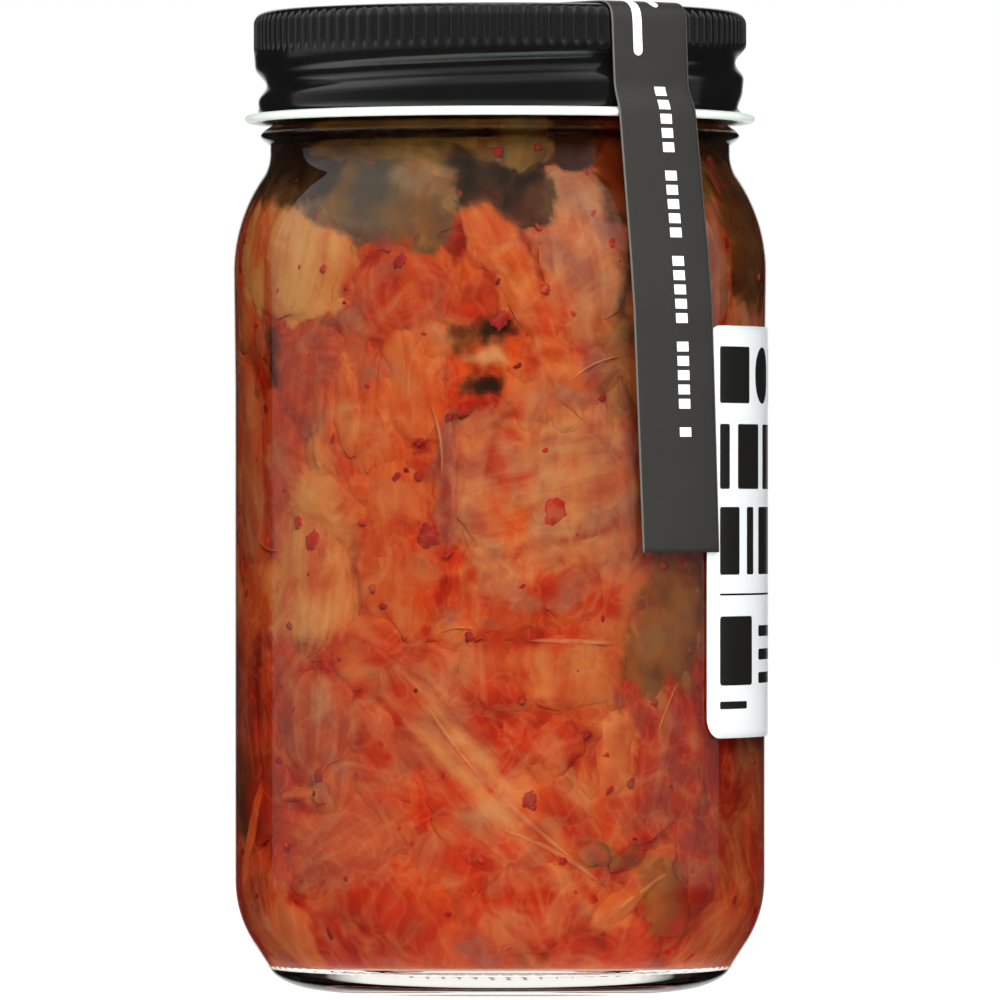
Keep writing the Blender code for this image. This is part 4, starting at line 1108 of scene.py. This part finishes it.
# Kimchi, chilli flakes: flat crushed chips of dried red chilli, dark to bright red, stuck on the
# pieces and hanging in the brine.
FLAKE_TONES = ((210, 54, 28), (194, 42, 30), (176, 36, 38), (152, 34, 44), (114, 28, 30))
flake_material = tissue_material("chilli_flake", streak=0.1, stain=0.2)
flake_shape = dict(thick=1.1, ruffle=0.04, ribs=1, rib=0.0, ragged=2.6, blunt=2.2, strength=0.95, firm=0.7)
flakes = [
    form(azimuth, z, size, size * 1.15, 25, tone, 0.2, seed=1900 + n, **flake_shape)
    for n, (azimuth, z, size, tone) in enumerate((
        (-51, 105.1, 1.1, 0.3), (-43.5, 104.9, 1.3, 0.4), (-59, 101.9, 1.1, 0.4), (-37, 102.2, 0.9, 0.5),
        (-23, 105.8, 2, 0.6), (-0.5, 121.5, 1.6, 0.6), (10, 122.2, 1.3, 0.8), (22, 112.3, 1.3, 0.5),
        (26, 108.3, 1.5, 0.4), (10.2, 101.8, 1.5, 0.2), (19, 104, 1.3, 0.5), (-16.5, 66.5, 3.2, 0.6),
        (-47, 65.8, 2.7, 0.3), (-52, 68.4, 1.7, 0.4), (-18.5, 79.9, 1.3, 0.5), (-8.4, 84.4, 1.9, 0.4),
        (-24, 74.8, 1.5, 0.7), (-18.6, 75.1, 1.3, 0.5), (12.3, 69.9, 3.6, 0.3), (6.8, 28.6, 2.4, 0.7),
        (25.6, 30.1, 1.6, 0.6), (14.4, 20, 1.4, 0.5), (-45, 31.9, 2.1, 0.7), (20, 38, 1.2, 0.7),
        (31, 31, 1.4, 0.8), (-30, 59, 1.2, 0.5), (-7, 52, 1.4, 0.6), (5, 43, 1.2, 0.4),
        (0, 97.5, 2.8, 0.5),
    ))
]
flakes += scattered(
    200, 2100, (-76, 284), (6, 121), (0.4, 1.4), (0.5, 1.6), 60, (0.2, 0.5), (0, 1), **flake_shape
)
piece_set("kimchi_chilli_flakes", flake_material, flakes, FLAKE_TONES)


# Kimchi brine: what the salted cabbage gives off, red with chilli. It fills the jar round the pieces
# up to the neck, and its body reaches just into the glass, so that no air shows between them.
BRINE_INTO_WALL = 0.15
BRINE_INTO_FLOOR = 0.02


def brine_material():
    """Clear red brine: it takes out green and blue with depth. The wet glass does the bending."""
    material, tree, shader = new_material("brine")
    passing = node(tree, "ShaderNodeBsdfTransparent", {"Color": (1.0, 1.0, 1.0, 1.0)})
    dye = node(tree, "ShaderNodeVolumeAbsorption", {"Color": (0.965, 0.52, 0.08, 1.0), "Density": 260.0})
    output = tree.nodes["Material Output"]
    tree.links.new(passing.outputs[0], output.inputs["Surface"])
    tree.links.new(dye.outputs[0], output.inputs["Volume"])
    tree.nodes.remove(shader)
    return material


wet = inner[inner[:, 1] < BRINE_TOP_Z]
steps = np.gradient(wet, axis=0)
steps /= np.linalg.norm(steps, axis=1, keepdims=True)
into_glass = np.interp(wet[:, 1], (5.5, 9.0), (BRINE_INTO_FLOOR, BRINE_INTO_WALL))[:, None]
side = wet + into_glass * np.stack([steps[:, 1], -steps[:, 0]], axis=1)
outline = np.concatenate([line((4.0, BRINE_TOP_Z), (side[-1, 0] - 1.0, BRINE_TOP_Z), 6), side[::-1]])
azimuths, radius, height = turned(outline, 240)
floor_z = FLOOR_EDGE[1] + FLOOR_DOME - BRINE_INTO_FLOOR
verts, faces = closed_round_axis(radius, height, azimuths, BRINE_TOP_Z, floor_z)
brine = new_piece("kimchi_brine", verts, faces, brine_material())
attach(brine, "root")


# Studio: a plain white floor and backdrop, large soft lamps to both sides and above, and a level
# camera with a long lens, 1.6 m in front of the jar.
EYE = (0.0, -1.6, 0.0716)
LENS = 393.6
TENT_EDGES = (-117.0, 110.0)
WHITE = (1.0, 1.0, 1.0, 1.0)

floor_material, tree, shader = new_material("white_floor", {
    "Base Color": (0.8, 0.8, 0.8, 1.0), "Roughness": 0.8, "Emission Color": WHITE,
})
seen = node(tree, "ShaderNodeLightPath").outputs["Is Camera Ray"]
tree.links.new(ranged(tree, seen, 0.0, 1.0, 0.4, 0.86), shader.inputs["Emission Strength"])
for name, half, z in (("floor", 3.0, 0.0), ("floor_at_foot", 0.085, -0.0002)):
    mesh = bpy.data.meshes.new(name)
    corners = [(-half, -half, z), (half, -half, z), (half, half, z), (-half, half, z)]
    mesh.from_pydata(corners, [], [(0, 1, 2, 3)])
    mesh.materials.append(floor_material)
    floor = bpy.data.objects.new(name, mesh)
    bpy.context.scene.collection.objects.link(floor)
    floor.visible_glossy = False
    floor.visible_transmission = name == "floor_at_foot"

world = bpy.data.worlds.new("studio")
world.use_nodes = True
bpy.context.scene.world = world
tree = world.node_tree
# What a ray meets beyond the table, by its direction: a grey tent over the front and the sides, which
# is brighter higher up and in reflections, dark behind it, and a white screen straight behind the jar.
# The camera itself sees white
split = node(tree, "ShaderNodeSeparateXYZ", {0: node(tree, "ShaderNodeTexCoord").outputs["Generated"]})
rays = node(tree, "ShaderNodeLightPath")
backward = calc(tree, "MULTIPLY", split.outputs["Y"], -1.0)
turn = calc(tree, "MULTIPLY", calc(tree, "ARCTAN2", split.outputs["X"], backward), 180.0 / np.pi)
spread = calc(tree, "ABSOLUTE", turn)
side_glow = ranged(tree, rays.outputs["Is Reflection Ray"], 0.0, 1.0, 0.08, 0.30)
light = ranged(tree, spread, 35.0, 80.0, 0.12, side_glow)
for share in (
    ranged(tree, split.outputs["Z"], 0.10, 0.45, 1.0, 2.6),
    ranged(tree, split.outputs["Z"], -0.12, -0.05, 0.15, 1.0),
    calc(tree, "GREATER_THAN", turn, TENT_EDGES[0]),
    calc(tree, "LESS_THAN", turn, TENT_EDGES[1]),
):
    light = calc(tree, "MULTIPLY", light, share)
light = calc(tree, "MAXIMUM", light, ranged(tree, spread, 166.0, 171.0, 0.015, 1.0))
background = tree.nodes["Background"]
tree.links.new(calc(tree, "MAXIMUM", light, rays.outputs["Is Camera Ray"]), background.inputs["Strength"])
background.inputs["Color"].default_value = WHITE

# Square lamps aimed at the middle of the jar, left out of reflections as polarised ones are
for name, azimuth, elevation, distance, size, power in (
    ("lamp_left", -22.0, 25.0, 1.3, 0.8, 12.1),
    ("lamp_right", 24.0, 25.0, 1.3, 0.8, 11.3),
    ("lamp_top", 0.0, 72.0, 1.2, 0.9, 6.0),
    ("lamp_back", 180.0, 40.0, 1.3, 0.9, 9.0),
):
    data = bpy.data.lights.new(name, "AREA")
    data.shape = "SQUARE"
    data.size = size
    data.energy = power
    lamp = bpy.data.objects.new(name, data)
    a, e = np.radians(azimuth), np.radians(elevation)
    away = np.array([np.sin(a) * np.cos(e), -np.cos(a) * np.cos(e), np.sin(e)])
    lamp.location = away * distance + (0.0, 0.0, 0.07)
    lamp.rotation_euler = (np.pi / 2.0 - e, 0.0, a)
    lamp.visible_glossy = False
    lamp.visible_transmission = False
    lamp.visible_camera = False
    bpy.context.scene.collection.objects.link(lamp)

camera_data = bpy.data.cameras.new("camera")
camera_data.lens = LENS
camera_data.sensor_width = 36.0
camera = bpy.data.objects.new("camera", camera_data)
camera.location = EYE
camera.rotation_euler = (np.pi / 2.0, 0.0, 0.0)
bpy.context.scene.collection.objects.link(camera)
bpy.context.scene.camera = camera
bpy.context.scene.view_settings.view_transform = "Standard"
# Light turns many times inside the glass of the base before it gets out
cycles = bpy.context.scene.cycles
cycles.max_bounces = 28
cycles.diffuse_bounces = 3
cycles.glossy_bounces = 28
cycles.transmission_bounces = 28
